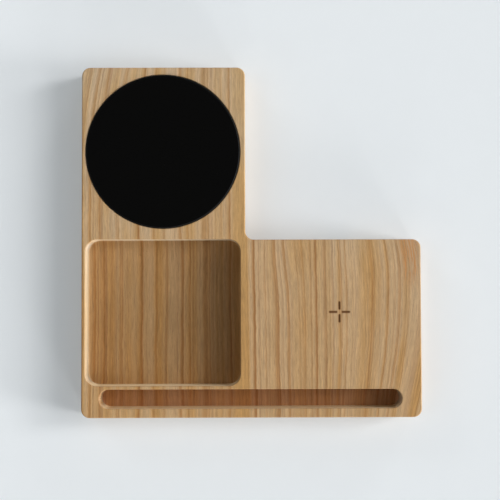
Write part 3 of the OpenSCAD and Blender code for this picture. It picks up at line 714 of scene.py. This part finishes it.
def makeCapacitor():
    look = partLook
    f = Finish("capacitorCeramic")
    middleX = spanOf("resonant_capacitors")[2][0]
    fromMiddle = (f.millimetres()[0] - middleX).calc("ABSOLUTE")
    grain = f.noise(f.place, look["capGrain"], 3)
    end = f.step(fromMiddle, look["capBody"] - 0.04, look["capBody"] + 0.04)
    colour = f.mix(grain, look["ceramicDark"], look["ceramic"])
    colour = f.mix(end, colour, f.shade(look["tin"], 0.8 + grain * 0.3))
    return f.close({
        "Base Color": colour, "Roughness": 0.42 + grain * 0.2, "Metallic": end,
        "Normal": f.bump(grain, look["capDepth"]),
    })


def makeThermistor():
    look = partLook
    f = Finish("thermistorResin")
    low, high, _ = spanOf("thermistor")
    height = f.millimetres()[2]
    beadBottom = high[2] - (high[0] - low[0])
    bead = f.step(height, beadBottom - 0.1, beadBottom)
    cloud = f.noise(f.place, look["resinCloud"], 3)
    resin = f.mix(cloud, look["resinDark"], look["resin"])
    colour = f.mix(bead, f.shade(look["tin"], 0.75 + cloud * 0.35), resin)
    return f.close({
        "Base Color": colour, "Roughness": 0.30 - bead * 0.14 + cloud * 0.1, "Metallic": 1 - bead,
        "Normal": f.bump(cloud, look["resinDepth"]),
    })


def makeCan():
    look = partLook
    f = Finish("canAluminium")
    x, y, z = f.millimetres()
    low, high, middle = spanOf("input_capacitor")
    metal = f.step(z, low[2] + look["baseHeight"] - 0.05, low[2] + look["baseHeight"] + 0.02)
    drawn = f.grain((x, y, z), look["canMarks"], 3)
    onTop = f.step(z, high[2] - 0.06, high[2] - 0.02)
    scoreX = 1 - f.step((x - middle[0]).calc("ABSOLUTE"), *look["score"])
    scoreY = 1 - f.step((y - middle[1]).calc("ABSOLUTE"), *look["score"])
    score = scoreX.calc("MAXIMUM", scoreY) * onTop
    sector = f.step(middle[0] - look["paintFrom"] - x, -0.03, 0.03) * onTop
    colour = f.mix(metal, look["base"], f.shade(look["aluminium"], 0.82 + drawn * 0.3 - score * 0.25))
    colour = f.mix(sector, colour, look["base"])
    return f.close({
        "Base Color": colour, "Roughness": 0.30 + drawn * 0.16, "Metallic": metal - sector,
        "Normal": f.bump(drawn * 0.3 - score, look["canDepth"]),
    })


dress("resonant_capacitors", makeCapacitor())
dress("thermistor", makeThermistor())
dress("input_capacitor", makeCan())
print("board parts done")

# Screws: a turned head with a six-sided socket, a core and a thread that winds round it
screwLook = {
    "sides": 48, "socketRadius": 0.816, "socketMouth": 0.901, "socketDepth": 0.9, "socketEdge": 0.06,
    "threadDepth": 0.16, "threadSegments": 20, "point": 0.35,
    # radius and height of each step of the head; start, end and pitch of the thread; rows of two screws
    "cover_screws": {
        "head": [(2.28, 0.0), (2.35, 0.05), (2.35, 0.2), (1.25, 1.4)],
        "shaft": 1.25, "tip": 0.4, "thread": (1.6, 5.6, 0.45), "rows": 3,
    },
    "carrier_screws": {
        "head": [(1.20, 0.0), (1.55, 0.07), (1.72, 0.22), (1.80, 0.48), (1.80, 1.22), (1.74, 1.30)],
        "shaft": 1.0, "tip": 1.0, "thread": (3.0, 7.4, 0.8), "rows": 2,
    },
    "board_screws": {
        "head": [(1.25, 0.0), (1.62, 0.07), (1.82, 0.20), (1.90, 0.44), (1.90, 1.12), (1.84, 1.20)],
        "shaft": 1.0, "tip": 0.5, "thread": (2.5, 5.0, 0.7), "rows": 2,
    },
}


# Share of the radius that turns a ring of points into a hexagon
def hexagon(k):
    sector = turn / 6
    angle = turn * k / screwLook["sides"] % sector
    return math.cos(sector / 2) / math.cos(angle - sector / 2)


# Winds a thread round the piece's core
def threadScrew(piece, shaft, start, end, pitch):
    look = screwLook
    depth = look["threadDepth"] * mm
    g = Growth("thread", {
        "Finish": steel, "Radius": shaft * mm - depth, "Depth": depth, "Start": (0.0, 0.0, start * mm),
        "Height": (end - start) * mm, "Turns": float((end - start) / pitch),
    })
    helix = g.add("GeometryNodeCurveSpiral", {}, {
        "Resolution": look["threadSegments"], "Rotations": g.ask("Turns"), "Height": g.ask("Height"),
        "Start Radius": g.ask("Radius"), "End Radius": g.ask("Radius"),
    })
    level = g.add("GeometryNodeSetCurveNormal", {"mode": "Z_UP"}, {"Curve": helix})
    placed = g.add("GeometryNodeTransform", {}, {"Geometry": level, "Translation": g.ask("Start")})
    ridge = g.add("GeometryNodeCurvePrimitiveCircle", {}, {"Resolution": 4, "Radius": g.ask("Depth")})
    g.grow(piece, g.merge(g.ask("Geometry"), g.sweep(placed, ridge)))


def makeScrews(nodeName):
    look = screwLook
    sides = look["sides"]
    kind = look[nodeName]
    head, shaft = kind["head"], kind["shaft"]
    low, high, middle = spanOf(nodeName)
    length = high[2] - low[2]
    core = shaft - look["threadDepth"]
    socket = look["socketRadius"]
    rings = [circle(socket, look[key], sides, shape=hexagon) for key in ("socketDepth", "socketEdge")]
    rings.append(circle(look["socketMouth"], 0, sides, shape=hexagon))
    rings += [circle(radius, height, sides) for radius, height in head]
    rings += [circle(core, head[-1][1], sides), circle(core, length - kind["tip"], sides)]
    rings.append(circle(core * look["point"], length, sides))
    screws = makePiece(pieceName(nodeName), [loft(rings)])
    threadScrew(screws, shaft, *kind["thread"])
    headWidth = 2 * max(radius for radius, height in head)
    repeatInRows(
        screws, steel, 2, kind["rows"], high[0] - low[0] - headWidth,
        (high[1] - low[1] - headWidth) / (kind["rows"] - 1), (middle[0], middle[1], low[2]),
    )
    settle(screws, [nodeName])


for nodeName in ("cover_screws", "carrier_screws", "board_screws"):
    makeScrews(nodeName)
print("screws done")

# Threaded inserts: two knurled bands with a groove between them
insertLook = {
    "radius": 1.8, "bore": 1.3, "length": 4.4, "band": 1.45, "cut": 0.28, "ridges": 24, "knurl": 0.09,
    "boreEdge": 0.15, "endEdge": 0.25, "endHeight": 0.2, "slope": 0.15,
}


# Share of the radius on a knurled band: every fourth point stands out
def knurled(k):
    return (1, 1, 1 - insertLook["knurl"], 1 - insertLook["knurl"])[k % 4]


def makeInserts():
    look = insertLook
    sides = 4 * look["ridges"]
    outer, bore, length, band = [look[key] for key in ("radius", "bore", "length", "band")]
    mouth, end = bore + look["boreEdge"], outer - look["endEdge"]
    neckBottom = band + look["slope"]
    rings = [circle(mouth, 0, sides), circle(end, 0, sides)]
    rings += [circle(outer, z, sides, shape=knurled) for z in (look["endHeight"], band)]
    rings += [circle(outer - look["cut"], z, sides) for z in (neckBottom, length - neckBottom)]
    rings += [circle(outer, z, sides, shape=knurled) for z in (length - band, length - look["endHeight"])]
    rings += [circle(end, length, sides), circle(mouth, length, sides)]
    rings += [circle(bore, z, sides) for z in (length - look["boreEdge"], look["boreEdge"])]
    inserts = makePiece("coverInserts", [loft(rings, closed=True)])
    low, high, middle = spanOf("cover_inserts")
    repeatInRows(
        inserts, brass, 2, 3, high[0] - low[0] - 2 * outer, (high[1] - low[1] - 2 * outer) / 2,
        (middle[0], middle[1], low[2]),
    )
    settle(inserts, ["cover_inserts"])


makeInserts()
print("inserts done")

# Moulded feet: rounded pads with a ring groove and a dimple in the face that they stand on
footLook = {
    "sides": 64, "dimple": 0.8, "dimpleFloor": 0.32, "round": 0.45, "roundSteps": 4, "topEdge": 0.06,
    "groove": 3.4, "grooveWidth": 0.5, "grooveDepth": 0.25,
    "grooveEdge": 0.12, "grooveSlope": 0.08, "grooveLip": 0.1,
}


def makeFoot(nodeName, rubber):
    look = footLook
    low, high, middle = spanOf(nodeName)
    radius = (high[0] - low[0]) / 2
    height = high[2] - low[2]
    inner, outer = [look["groove"] + side * look["grooveWidth"] / 2 for side in (-1, 1)]
    edge, slope, lip = look["grooveEdge"], look["grooveSlope"], look["grooveLip"]
    profile = [
        (look["dimpleFloor"], look["grooveDepth"]), (look["dimple"], 0), (inner - edge, 0), (inner, lip),
        (inner + slope, look["grooveDepth"]), (outer - slope, look["grooveDepth"]), (outer, lip),
        (outer + edge, 0), (radius - look["round"], 0),
    ]
    for k in range(1, look["roundSteps"] + 1):
        angle = turn / 4 * k / look["roundSteps"]
        reach = radius - look["round"] * (1 - math.sin(angle))
        profile.append((reach, look["round"] * (1 - math.cos(angle))))
    profile += [(radius, height - look["topEdge"]), (radius - look["topEdge"], height)]
    rings = [circle(r, low[2] + z, look["sides"], middle) for r, z in profile]
    foot = makePiece(pieceName(nodeName), [loft(rings)])
    settle(foot, [nodeName], material=rubber)


footRubber = makeMoulded("footRubber")
for nodeName in sorted(nodes):
    if nodeName.startswith("foot_"):
        makeFoot(nodeName, footRubber)
print("feet done")

# Pressed felt pad under the coaster: a soft rim with loose fibres standing out of it
feltLook = {
    "dark": (0.050, 0.050, 0.053), "light": (0.150, 0.150, 0.156),
    "fibres": 2200, "clumps": 300, "depth": 0.00012,
    "sides": 180, "round": 0.35, "roundSteps": 6, "spare": 0.02, "flatFromRim": 3,
    # how far the rim strays from a circle, and its waves: how many, height and phase
    "wobble": 0.25, "waves": [(5, 1, 0), (11, 0.7, 1), (23, 0.5, 2)],
    "fibreLength": 0.9, "fibreThickness": 0.014, "fibresPerMetre2": 7.0e6, "seed": 7,
    # shares of its length by which a fibre bows and rises, its turn, and how level a face of the rim may be
    "fibreBow": 0.25, "fibreRise": 0.15, "fibreTurn": (0.35, 0.25, math.pi), "rimSlope": 0.75,
}


def makeFelt():
    look = feltLook
    f = Finish("pressedFelt")
    fibres = f.noise(f.place, look["fibres"], 4, 0.75)
    clumps = f.noise(f.place, look["clumps"], 2)
    colour = f.mix(f.step(fibres, 0.38, 0.66), look["dark"], look["light"])
    colour = f.shade(colour, 0.85 + clumps * 0.3)
    return f.close({
        "Base Color": colour, "Roughness": 0.9 + fibres * 0.05,
        "Normal": f.bump(fibres + clumps * 0.5, look["depth"]), "Sheen Weight": 0.35, "Sheen Roughness": 0.5,
    })


def makeCoasterPad():
    look = feltLook
    low, high, middle = spanOf("coaster_pad")
    radius = (high[0] - low[0]) / 2
    bottom, top = low[2] + look["spare"], high[2] - look["spare"]
    steps = look["roundSteps"]
    profile = []
    for k in range(steps + 1):
        angle = turn / 2 * (k / steps - 0.5)
        reach = radius - look["round"] * (1 - math.cos(angle))
        profile.append((reach, (bottom + top) / 2 + (top - bottom) / 2 * math.sin(angle)))

    # The rim of cut felt isn't quite round
    def wavy(k):
        angle = turn * k / look["sides"]
        wave = sum(height * math.sin(count * angle + phase) for count, height, phase in look["waves"])
        return 1 - look["wobble"] / radius * (0.5 + 0.2 * wave)

    rings = [circle(r, z, look["sides"], middle, wavy) for r, z in profile]
    inner = radius - look["flatFromRim"]
    rings = [circle(inner, bottom, look["sides"], middle), *rings, circle(inner, top, look["sides"], middle)]
    pad = makePiece("feltPad", [loft(rings)])
    growFibres(pad, makeFelt())
    settle(pad, ["coaster_pad"], body="coaster")


# Scatters short bent fibres over the upright faces of the rim
def growFibres(pad, finish):
    look = feltLook
    length = look["fibreLength"] * mm
    g = Growth("fibres", {
        "Finish": finish, "Density": look["fibresPerMetre2"], "Seed": look["seed"],
        "Thickness": look["fibreThickness"] * mm, "Middle": (length / 2, length * look["fibreBow"], 0.0),
        "End": (length, 0.0, length * look["fibreRise"]),
    })
    skin = g.ask("Geometry")
    normalZ = g.axes(g.add("GeometryNodeInputNormal", {}, {}))[2]
    steep = {0: normalZ.calc("ABSOLUTE"), 1: look["rimSlope"]}
    upright = g.add("FunctionNodeCompare", {"operation": "LESS_THAN"}, steep)
    points = g.add("GeometryNodeDistributePointsOnFaces", {}, {
        "Mesh": skin, "Selection": upright, "Density": g.ask("Density"), "Seed": g.ask("Seed"),
    })
    bend = g.add("GeometryNodeCurveQuadraticBezier", {}, {
        "Resolution": 3, "Start": (0, 0, 0), "Middle": g.ask("Middle"), "End": g.ask("End"),
    })
    section = g.add("GeometryNodeCurvePrimitiveCircle", {}, {"Resolution": 3, "Radius": g.ask("Thickness")})
    spin = g.add(
        "FunctionNodeRandomValue", {"data_type": "FLOAT_VECTOR"},
        {0: tuple(-a for a in look["fibreTurn"]), 1: look["fibreTurn"], 8: g.ask("Seed")},
    )
    g.grow(pad, g.merge(skin, g.repeat(points, g.sweep(bend, section), spin)))


makeCoasterPad()
print("felt pad done")

# Foam block under the board: cut cells on its faces, sides that swell where it is squeezed
foamLook = {
    "dark": (0.035, 0.035, 0.038), "light": (0.110, 0.110, 0.116),
    "cells": 900, "fine": 2600, "depth": 0.00020,
    "corner": 1.2, "cornerSteps": 10, "swell": 0.35, "spare": 0.03, "levels": 8,
    # rings that divide the flat faces, from the middle outwards
    "insets": (8, 5, 2.5), "insetCorner": 0.4,
    "pits": 540.0, "pit": 0.10, "pitMiddle": 0.6, "divisions": 3,
}


def makeFoam():
    look = foamLook
    f = Finish("cutFoam")
    cells = f.add("ShaderNodeTexVoronoi", {"feature": "F1"}, {"Vector": f.place, "Scale": look["cells"]})
    fine = f.noise(f.place, look["fine"], 2)
    colour = f.mix(f.step(cells, 0.15, 0.55), look["dark"], look["light"])
    colour = f.shade(colour, 0.85 + fine * 0.3)
    relief = f.bump(cells, look["depth"])
    return f.close({"Base Color": colour, "Roughness": 0.86 + fine * 0.08, "Normal": relief})


def makeCushion():
    look = foamLook
    low, high, middle = spanOf("board_cushion")
    width, depth = high[0] - low[0], high[1] - low[1]
    bottom, top = low[2] + look["spare"], high[2] - look["spare"]

    def ring(inset, corner, height):
        return oblong(width - 2 * inset, depth - 2 * inset, corner, height, middle, look["cornerSteps"])

    rings = [ring(inset, look["insetCorner"], bottom) for inset in look["insets"]]
    for k in range(look["levels"] + 1):
        share = k / look["levels"]
        drawnIn = look["swell"] * (1 - math.sin(math.pi * share)) + look["pit"]
        rings.append(ring(drawnIn, look["corner"], bottom + (top - bottom) * share))
    rings += [ring(inset, look["insetCorner"], top) for inset in reversed(look["insets"])]
    cushion = makePiece("foamCushion", [loft(rings)])
    g = Growth("cutCells", {
        "Finish": makeFoam(), "Divisions": look["divisions"], "Cells": look["pits"], "Pit": look["pit"] * mm,
    })
    fine = g.add("GeometryNodeSubdivideMesh", {}, {"Mesh": g.ask("Geometry"), "Level": g.ask("Divisions")})
    place = g.add("GeometryNodeInputPosition", {}, {})
    cell = g.add("ShaderNodeTexVoronoi", {"feature": "F1"}, {"Vector": place, "Scale": g.ask("Cells")})
    normal = g.add("GeometryNodeInputNormal", {}, {})
    sidewards = 1 - g.axes(normal)[2].calc("ABSOLUTE")
    depthHere = (cell - look["pitMiddle"]) * g.ask("Pit") * sidewards
    offset = g.vector("SCALE", normal, depthHere)
    g.grow(cushion, g.add("GeometryNodeSetPosition", {}, {"Geometry": fine, "Offset": offset}))
    settle(cushion, ["board_cushion"])


makeCushion()
print("foam done")

# Litz coil: strands twisted round the path of the wire, a flat spiral with both its tails
coilLook = {
    "inner": 9.4, "pitch": 1.55, "turns": 10.25, "wire": 1.1, "bend": 2.2,
    "stepsPerTurn": 48, "stepsPerBend": 6,
    "strands": 6, "lay": 8.0, "strandRadius": 0.185, "strandSides": 6, "step": 0.72,
    "copper": (0.62, 0.27, 0.12), "dark": (0.30, 0.11, 0.045), "silk": (0.70, 0.42, 0.26),
    "wires": 5200, "patches": 160, "depth": 0.00003,
}


def makeLitz():
    look = coilLook
    f = Finish("litzCopper")
    wires = f.noise(f.place, look["wires"], 3, 0.6)
    patch = f.noise(f.place, look["patches"], 2)
    colour = f.mix(f.step(wires, 0.35, 0.65), look["dark"], look["copper"])
    colour = f.mix(f.step(patch, 0.45, 0.65) * 0.4, colour, look["silk"])
    return f.close({
        "Base Color": colour, "Roughness": 0.34 + wires * 0.2, "Metallic": 0.75,
        "Normal": f.bump(wires, look["depth"]),
    })


# Middle line of the wire: up from the board, round the spiral and down again
def coilPath():
    look = coilLook
    low, high, _ = spanOf("transmit_coil")
    level = high[2] - look["wire"] / 2
    foot = low[2]
    bend = look["bend"]
    outer = look["inner"] + look["turns"] * look["pitch"]
    quarter = [turn / 4 * k / look["stepsPerBend"] for k in range(look["stepsPerBend"])]
    path = [(look["inner"], -bend, foot)]
    path += [(look["inner"], -bend * math.cos(a), level - bend + bend * math.sin(a)) for a in quarter]
    for k in range(int(look["turns"] * look["stepsPerTurn"]) + 1):
        angle = turn * k / look["stepsPerTurn"]
        radius = look["inner"] + look["pitch"] * angle / turn
        path.append((radius * math.cos(angle), radius * math.sin(angle), level))
    path += [(-bend * math.cos(a), outer, level - bend + bend * math.sin(a)) for a in reversed(quarter)]
    path.append((-bend, outer, foot))
    return [(coilX + px, coilY + py, pz) for px, py, pz in path]


def makeCoil():
    look = coilLook
    path = coilPath()
    links = [(i, i + 1) for i in range(len(path) - 1)]
    coil = makePiece("transmitCoil", [(path, [])], links)
    g = Growth("twist", {
        "Finish": makeLitz(), "Strands": look["strands"], "Lay": look["lay"] * mm, "Step": look["step"] * mm,
        "Strand Radius": look["strandRadius"] * mm,
        "Strand Place": (look["wire"] / 2 - look["strandRadius"]) * mm,
    })
    wire = g.add("GeometryNodeMeshToCurve", {}, {"Mesh": g.ask("Geometry")})
    even = g.add("GeometryNodeResampleCurve", {"mode": "LENGTH"}, {"Curve": wire, "Length": g.ask("Step")})
    copies = g.add("GeometryNodeDuplicateElements", {"domain": "SPLINE"}, {
        "Geometry": even, "Amount": g.ask("Strands"),
    })
    strand = Value(g, copies.socket.node.outputs["Duplicate Index"])
    along = g.add("GeometryNodeSplineParameter", {}, {}, out="Length")
    phase = (along / g.ask("Lay") + strand / g.ask("Strands")) * turn
    normal = g.add("GeometryNodeInputNormal", {}, {})
    tangent = g.add("GeometryNodeInputTangent", {}, {})
    aside = g.vector("CROSS_PRODUCT", tangent, normal)
    reach = g.ask("Strand Place")
    offset = g.vector(
        "ADD", g.vector("SCALE", normal, phase.calc("COSINE") * reach),
        g.vector("SCALE", aside, phase.calc("SINE") * reach),
    )
    twisted = g.add("GeometryNodeSetPosition", {}, {"Geometry": copies, "Offset": offset})
    section = g.add("GeometryNodeCurvePrimitiveCircle", {}, {
        "Resolution": look["strandSides"], "Radius": g.ask("Strand Radius"),
    })
    g.grow(coil, g.sweep(twisted, section))
    settle(coil, ["transmit_coil"])
    return path


coilEnds = makeCoil()
print("coil done")

# Small parts on the board: moulded bridge transistors, and every soldered lead, pad and joint
leadLook = {
    "thick": 0.14, "width": 0.24, "length": 0.50, "proud": 0.10,
    # node, leads a side, pitch, sides with leads
    "chips": [("controller_chip", 8, 0.5, 4), ("power_chip", 4, 0.5, 4)],
    "bridgeBody": 3.3, "bridgeHeight": 0.85, "bridgePitch": 4.6, "bridgeLeads": 4, "bridgeLeadPitch": 0.65,
    "draft": 0.09, "partingLine": 0.4, "topEdge": 0.12,
    # reach of the soldered pads past a part, their height, and their depth by part
    "padReach": 0.45, "padHeight": 0.3, "padDepths": {"power_inductor": 3.6, "input_capacitor": 0.9},
    # radius and height of the joints at the coil's tails and at the thermistor's legs
    "tailJoint": (0.85, 0.7), "legJoint": (0.45, 0.4), "legFromMiddle": 0.55,
    "jointSides": 20, "jointLevels": 5,
    # a lead or pad: how much of it its cut edges take, and the share of its height where they start
    "slabEdge": 0.15, "slabShoulder": 0.7,
}


# Body of a chip, with the draft and the parting line of its mould
def chipBody(width, height):
    look = leadLook
    edge = look["topEdge"]
    narrow = width - look["draft"]
    parting = height * look["partingLine"]
    sizes = [
        (narrow, 0.0), (width, parting), (width, parting + edge / 4), (narrow, height - edge / 2),
        (narrow - edge, height),
    ]
    return loft([oblong(size, size, edge, z, steps=2) for size, z in sizes])


# Small block whose top edges are cut off
def slab(width, depth, height, middle=(0, 0), bottom=0.0):
    edge = leadLook["slabEdge"] * min(width, depth)
    sizes = [(0, 0), (0, height * leadLook["slabShoulder"]), (edge, height)]
    return loft([oblong(width - cut, depth - cut, edge, bottom + z, middle, 2) for cut, z in sizes])


# Repeats a lead on the sides of a chip's body, half a body's width from its middle
def makeLeads(name, perSide, pitch, sides, half, middle):
    look = leadLook
    reach = half - look["length"] / 2 + look["proud"]
    lead = makePiece(name, [slab(look["length"], look["width"], look["thick"], (reach, 0))])
    g = Growth("leads", {
        "Finish": steel, "Per Side": perSide, "Sides": sides, "Pitch": (0.0, pitch * mm, 0.0),
        "First": (0.0, -(perSide - 1) / 2 * pitch * mm, 0.0), "Middle": tuple(a * mm for a in middle),
    })
    row = g.add("GeometryNodeMeshLine", {}, {
        "Count": g.ask("Per Side"), "Start Location": g.ask("First"), "Offset": g.ask("Pitch"),
    })
    side = g.repeat(row, g.ask("Geometry"))
    around = g.add("GeometryNodeMeshLine", {}, {"Count": g.ask("Sides"), "Offset": (0, 0, 0)})
    spin = g.join(0, 0, g.add("GeometryNodeInputIndex", {}, {}) / g.ask("Sides") * turn)
    whole = g.repeat(around, side, spin)
    g.grow(lead, g.add("GeometryNodeTransform", {}, {"Geometry": whole, "Translation": g.ask("Middle")}))
    return lead


# Joint of solder on the board
def dome(middle, radius, height):
    look = leadLook
    rings = []
    for k in range(look["jointLevels"]):
        angle = turn / 4 * k / look["jointLevels"]
        level = boardTop + height * math.sin(angle)
        rings.append(circle(radius * math.cos(angle), level, look["jointSides"], middle))
    return loft(rings)


def makeBridge():
    look = leadLook
    pitch = look["bridgePitch"]
    x, y = spanOf("bridge_transistors")[2][:2]
    bodies = makePiece("bridgeBodies", [chipBody(look["bridgeBody"], look["bridgeHeight"])])
    repeatInRows(bodies, chipResin, 2, 2, pitch, pitch, (x, y, boardTop + 0.01))
    settle(bodies, ["bridge_transistors"])
    leads = makeLeads(
        "bridgeLeads", look["bridgeLeads"], look["bridgeLeadPitch"], 2, look["bridgeBody"] / 2, (0, 0, 0)
    )
    repeatInRows(leads, steel, 2, 2, pitch, pitch, (x, y, boardTop))
    settle(leads)


def makeSoldered():
    look = leadLook
    for nodeName, perSide, pitch, sides in look["chips"]:
        low, high, (x, y, _) = spanOf(nodeName)
        name = nodeName.split("_")[0] + "Leads"
        leads = makeLeads(name, perSide, pitch, sides, (high[0] - low[0]) / 2, (x, y, boardTop))
        settle(leads)
    shells = []
    for nodeName, padDepth in look["padDepths"].items():
        low, high, middle = spanOf(nodeName)
        for edge, side in ((low[0], -1), (high[0], 1)):
            at = (edge + side * look["padReach"] / 2, middle[1])
            shells.append(slab(look["padReach"] * 2, padDepth, look["padHeight"], at, boardTop))
    for end in (coilEnds[0], coilEnds[-1]):
        shells.append(dome(end[:2], *look["tailJoint"]))
    for side in (-1, 1):
        shells.append(dome((coilX + side * look["legFromMiddle"], coilY), *look["legJoint"]))
    settle(makePiece("solderJoints", shells), material=steel)


makeBridge()
makeSoldered()
print("leads done")

# Two rows of contacts on the receptacle's tongue
contactLook = {
    "perSide": 12, "pitch": 0.5, "width": 0.26, "length": 3.6, "thick": 0.05, "corner": 0.08, "edge": 0.04,
    "fromTip": 0.5, "tongue": 0.7, "sunk": 0.01,
}


def makeContacts():
    look = contactLook
    _, high, middle = spanOf("usb_tongue")
    half = look["thick"] / 2
    lift = look["tongue"] / 2 + half - look["sunk"]
    strip = loft([
        oblong(look["width"] - cut, look["length"] - cut, look["corner"], z, steps=2)
        for cut, z in ((look["edge"], -half), (0, 0), (look["edge"], half))
    ])
    contacts = makePiece("usbContacts", [
        ([(x, y, z + side * lift) for x, y, z in strip[0]], strip[1]) for side in (-1, 1)
    ])
    y = high[1] - look["fromTip"] - look["length"] / 2
    repeatInRows(contacts, brass, look["perSide"], 1, look["pitch"], 0, (middle[0], y, middle[2]))
    settle(contacts)


makeContacts()
print("contacts done")

# Floor, camera and light; each panel of light has its azimuth, elevation, spread and strength on the floor
room = {
    "floor": (0.670, 0.685, 0.695), "floorGrain": 60, "floorGlow": (0.180, 0.205, 0.220), "floorSize": 6.0,
    "cameraPlace": (-4.27, -32.55, 732.56), "cameraTurn": (2.173, -0.274, -0.165),
    "focalPixels": 1100, "framePixels": 500,
    "panels": [
        (-11, 13, 16, 0.46), (13, 24, 14, 0.48), (-12, 36, 20, 0.33), (12, 36, 20, 0.33),
        (20, 50, 20, 0.12), (-60, 13, 14, 0.19), (60, 13, 14, 0.10), (-90, 13, 14, 0.10),
        (135, 24, 14, 0.13), (225, 24, 14, 0.05),
        (-60, 50, 20, 0.10), (180, 50, 20, 0.23),
    ],
    # elevations between which the haze on the horizon ends, and angles from straight up round the dark patch
    "sky": (0.030, 0.031, 0.032), "haze": (0.76, 0.79, 0.80), "hazeEnd": (5, 13),
    "dark": (0.02, 0.02, 0.02), "darkEnd": (26, 14),
}


def makeFloor():
    bpy.ops.mesh.primitive_plane_add(size=room["floorSize"])
    floor = bpy.context.object
    floor.name = "floor"
    f = Finish("paleFloor")
    grain = f.noise(f.place, room["floorGrain"], 2)
    colour = f.shade(room["floor"], 0.99 + grain * 0.02)
    floor.data.materials.append(f.close({
        "Base Color": colour, "Roughness": 0.85, "Specular IOR Level": 0.1,
        "Emission Color": (*room["floorGlow"], 1), "Emission Strength": 1,
    }))


def makeCamera():
    camera = bpy.data.objects.new("camera", bpy.data.cameras.new("camera"))
    bpy.context.scene.collection.objects.link(camera)
    camera.location = [a * mm for a in room["cameraPlace"]]
    camera.rotation_euler = [math.radians(a) for a in room["cameraTurn"]]
    camera.data.lens = room["focalPixels"] / room["framePixels"] * camera.data.sensor_width
    camera.data.clip_start = 0.01
    bpy.context.scene.camera = camera


def makePanel(azimuth, elevation, spread, strength):
    rise = math.radians(elevation)
    data = bpy.data.lights.new("panel", "SUN")
    data.angle = math.radians(spread)
    data.energy = strength / math.sin(rise)
    panel = bpy.data.objects.new("panel", data)
    panel.rotation_euler = (math.pi / 2 - rise, 0, math.radians(azimuth) + math.pi / 2)
    bpy.context.scene.collection.objects.link(panel)


# Faint sky, as pale as the floor along the horizon and darkest overhead
def makeSky():
    world = bpy.data.worlds.new("studio")
    bpy.context.scene.world = world
    world.use_nodes = True
    g = Graph(world.node_tree)
    upwards = g.axes(g.add("ShaderNodeTexCoord", {}, {}, out="Generated"))[2]
    haze = 1 - g.step(upwards, *[math.sin(math.radians(a)) for a in room["hazeEnd"]])
    dark = g.step(upwards, *[math.cos(math.radians(a)) for a in room["darkEnd"]])
    colour = (*room["sky"], 1)
    for share, other in ((haze, room["haze"]), (dark, room["dark"])):
        colour = g.add("ShaderNodeMix", {"data_type": "RGBA"}, {0: share, 6: colour, 7: (*other, 1)}, out=2)
    g.add("ShaderNodeOutputWorld", {}, {0: g.add("ShaderNodeBackground", {}, {0: colour})})


makeFloor()
makeCamera()
for panel in room["panels"]:
    makePanel(*panel)
makeSky()
bpy.context.scene.view_settings.view_transform = "Standard"
print("room done")
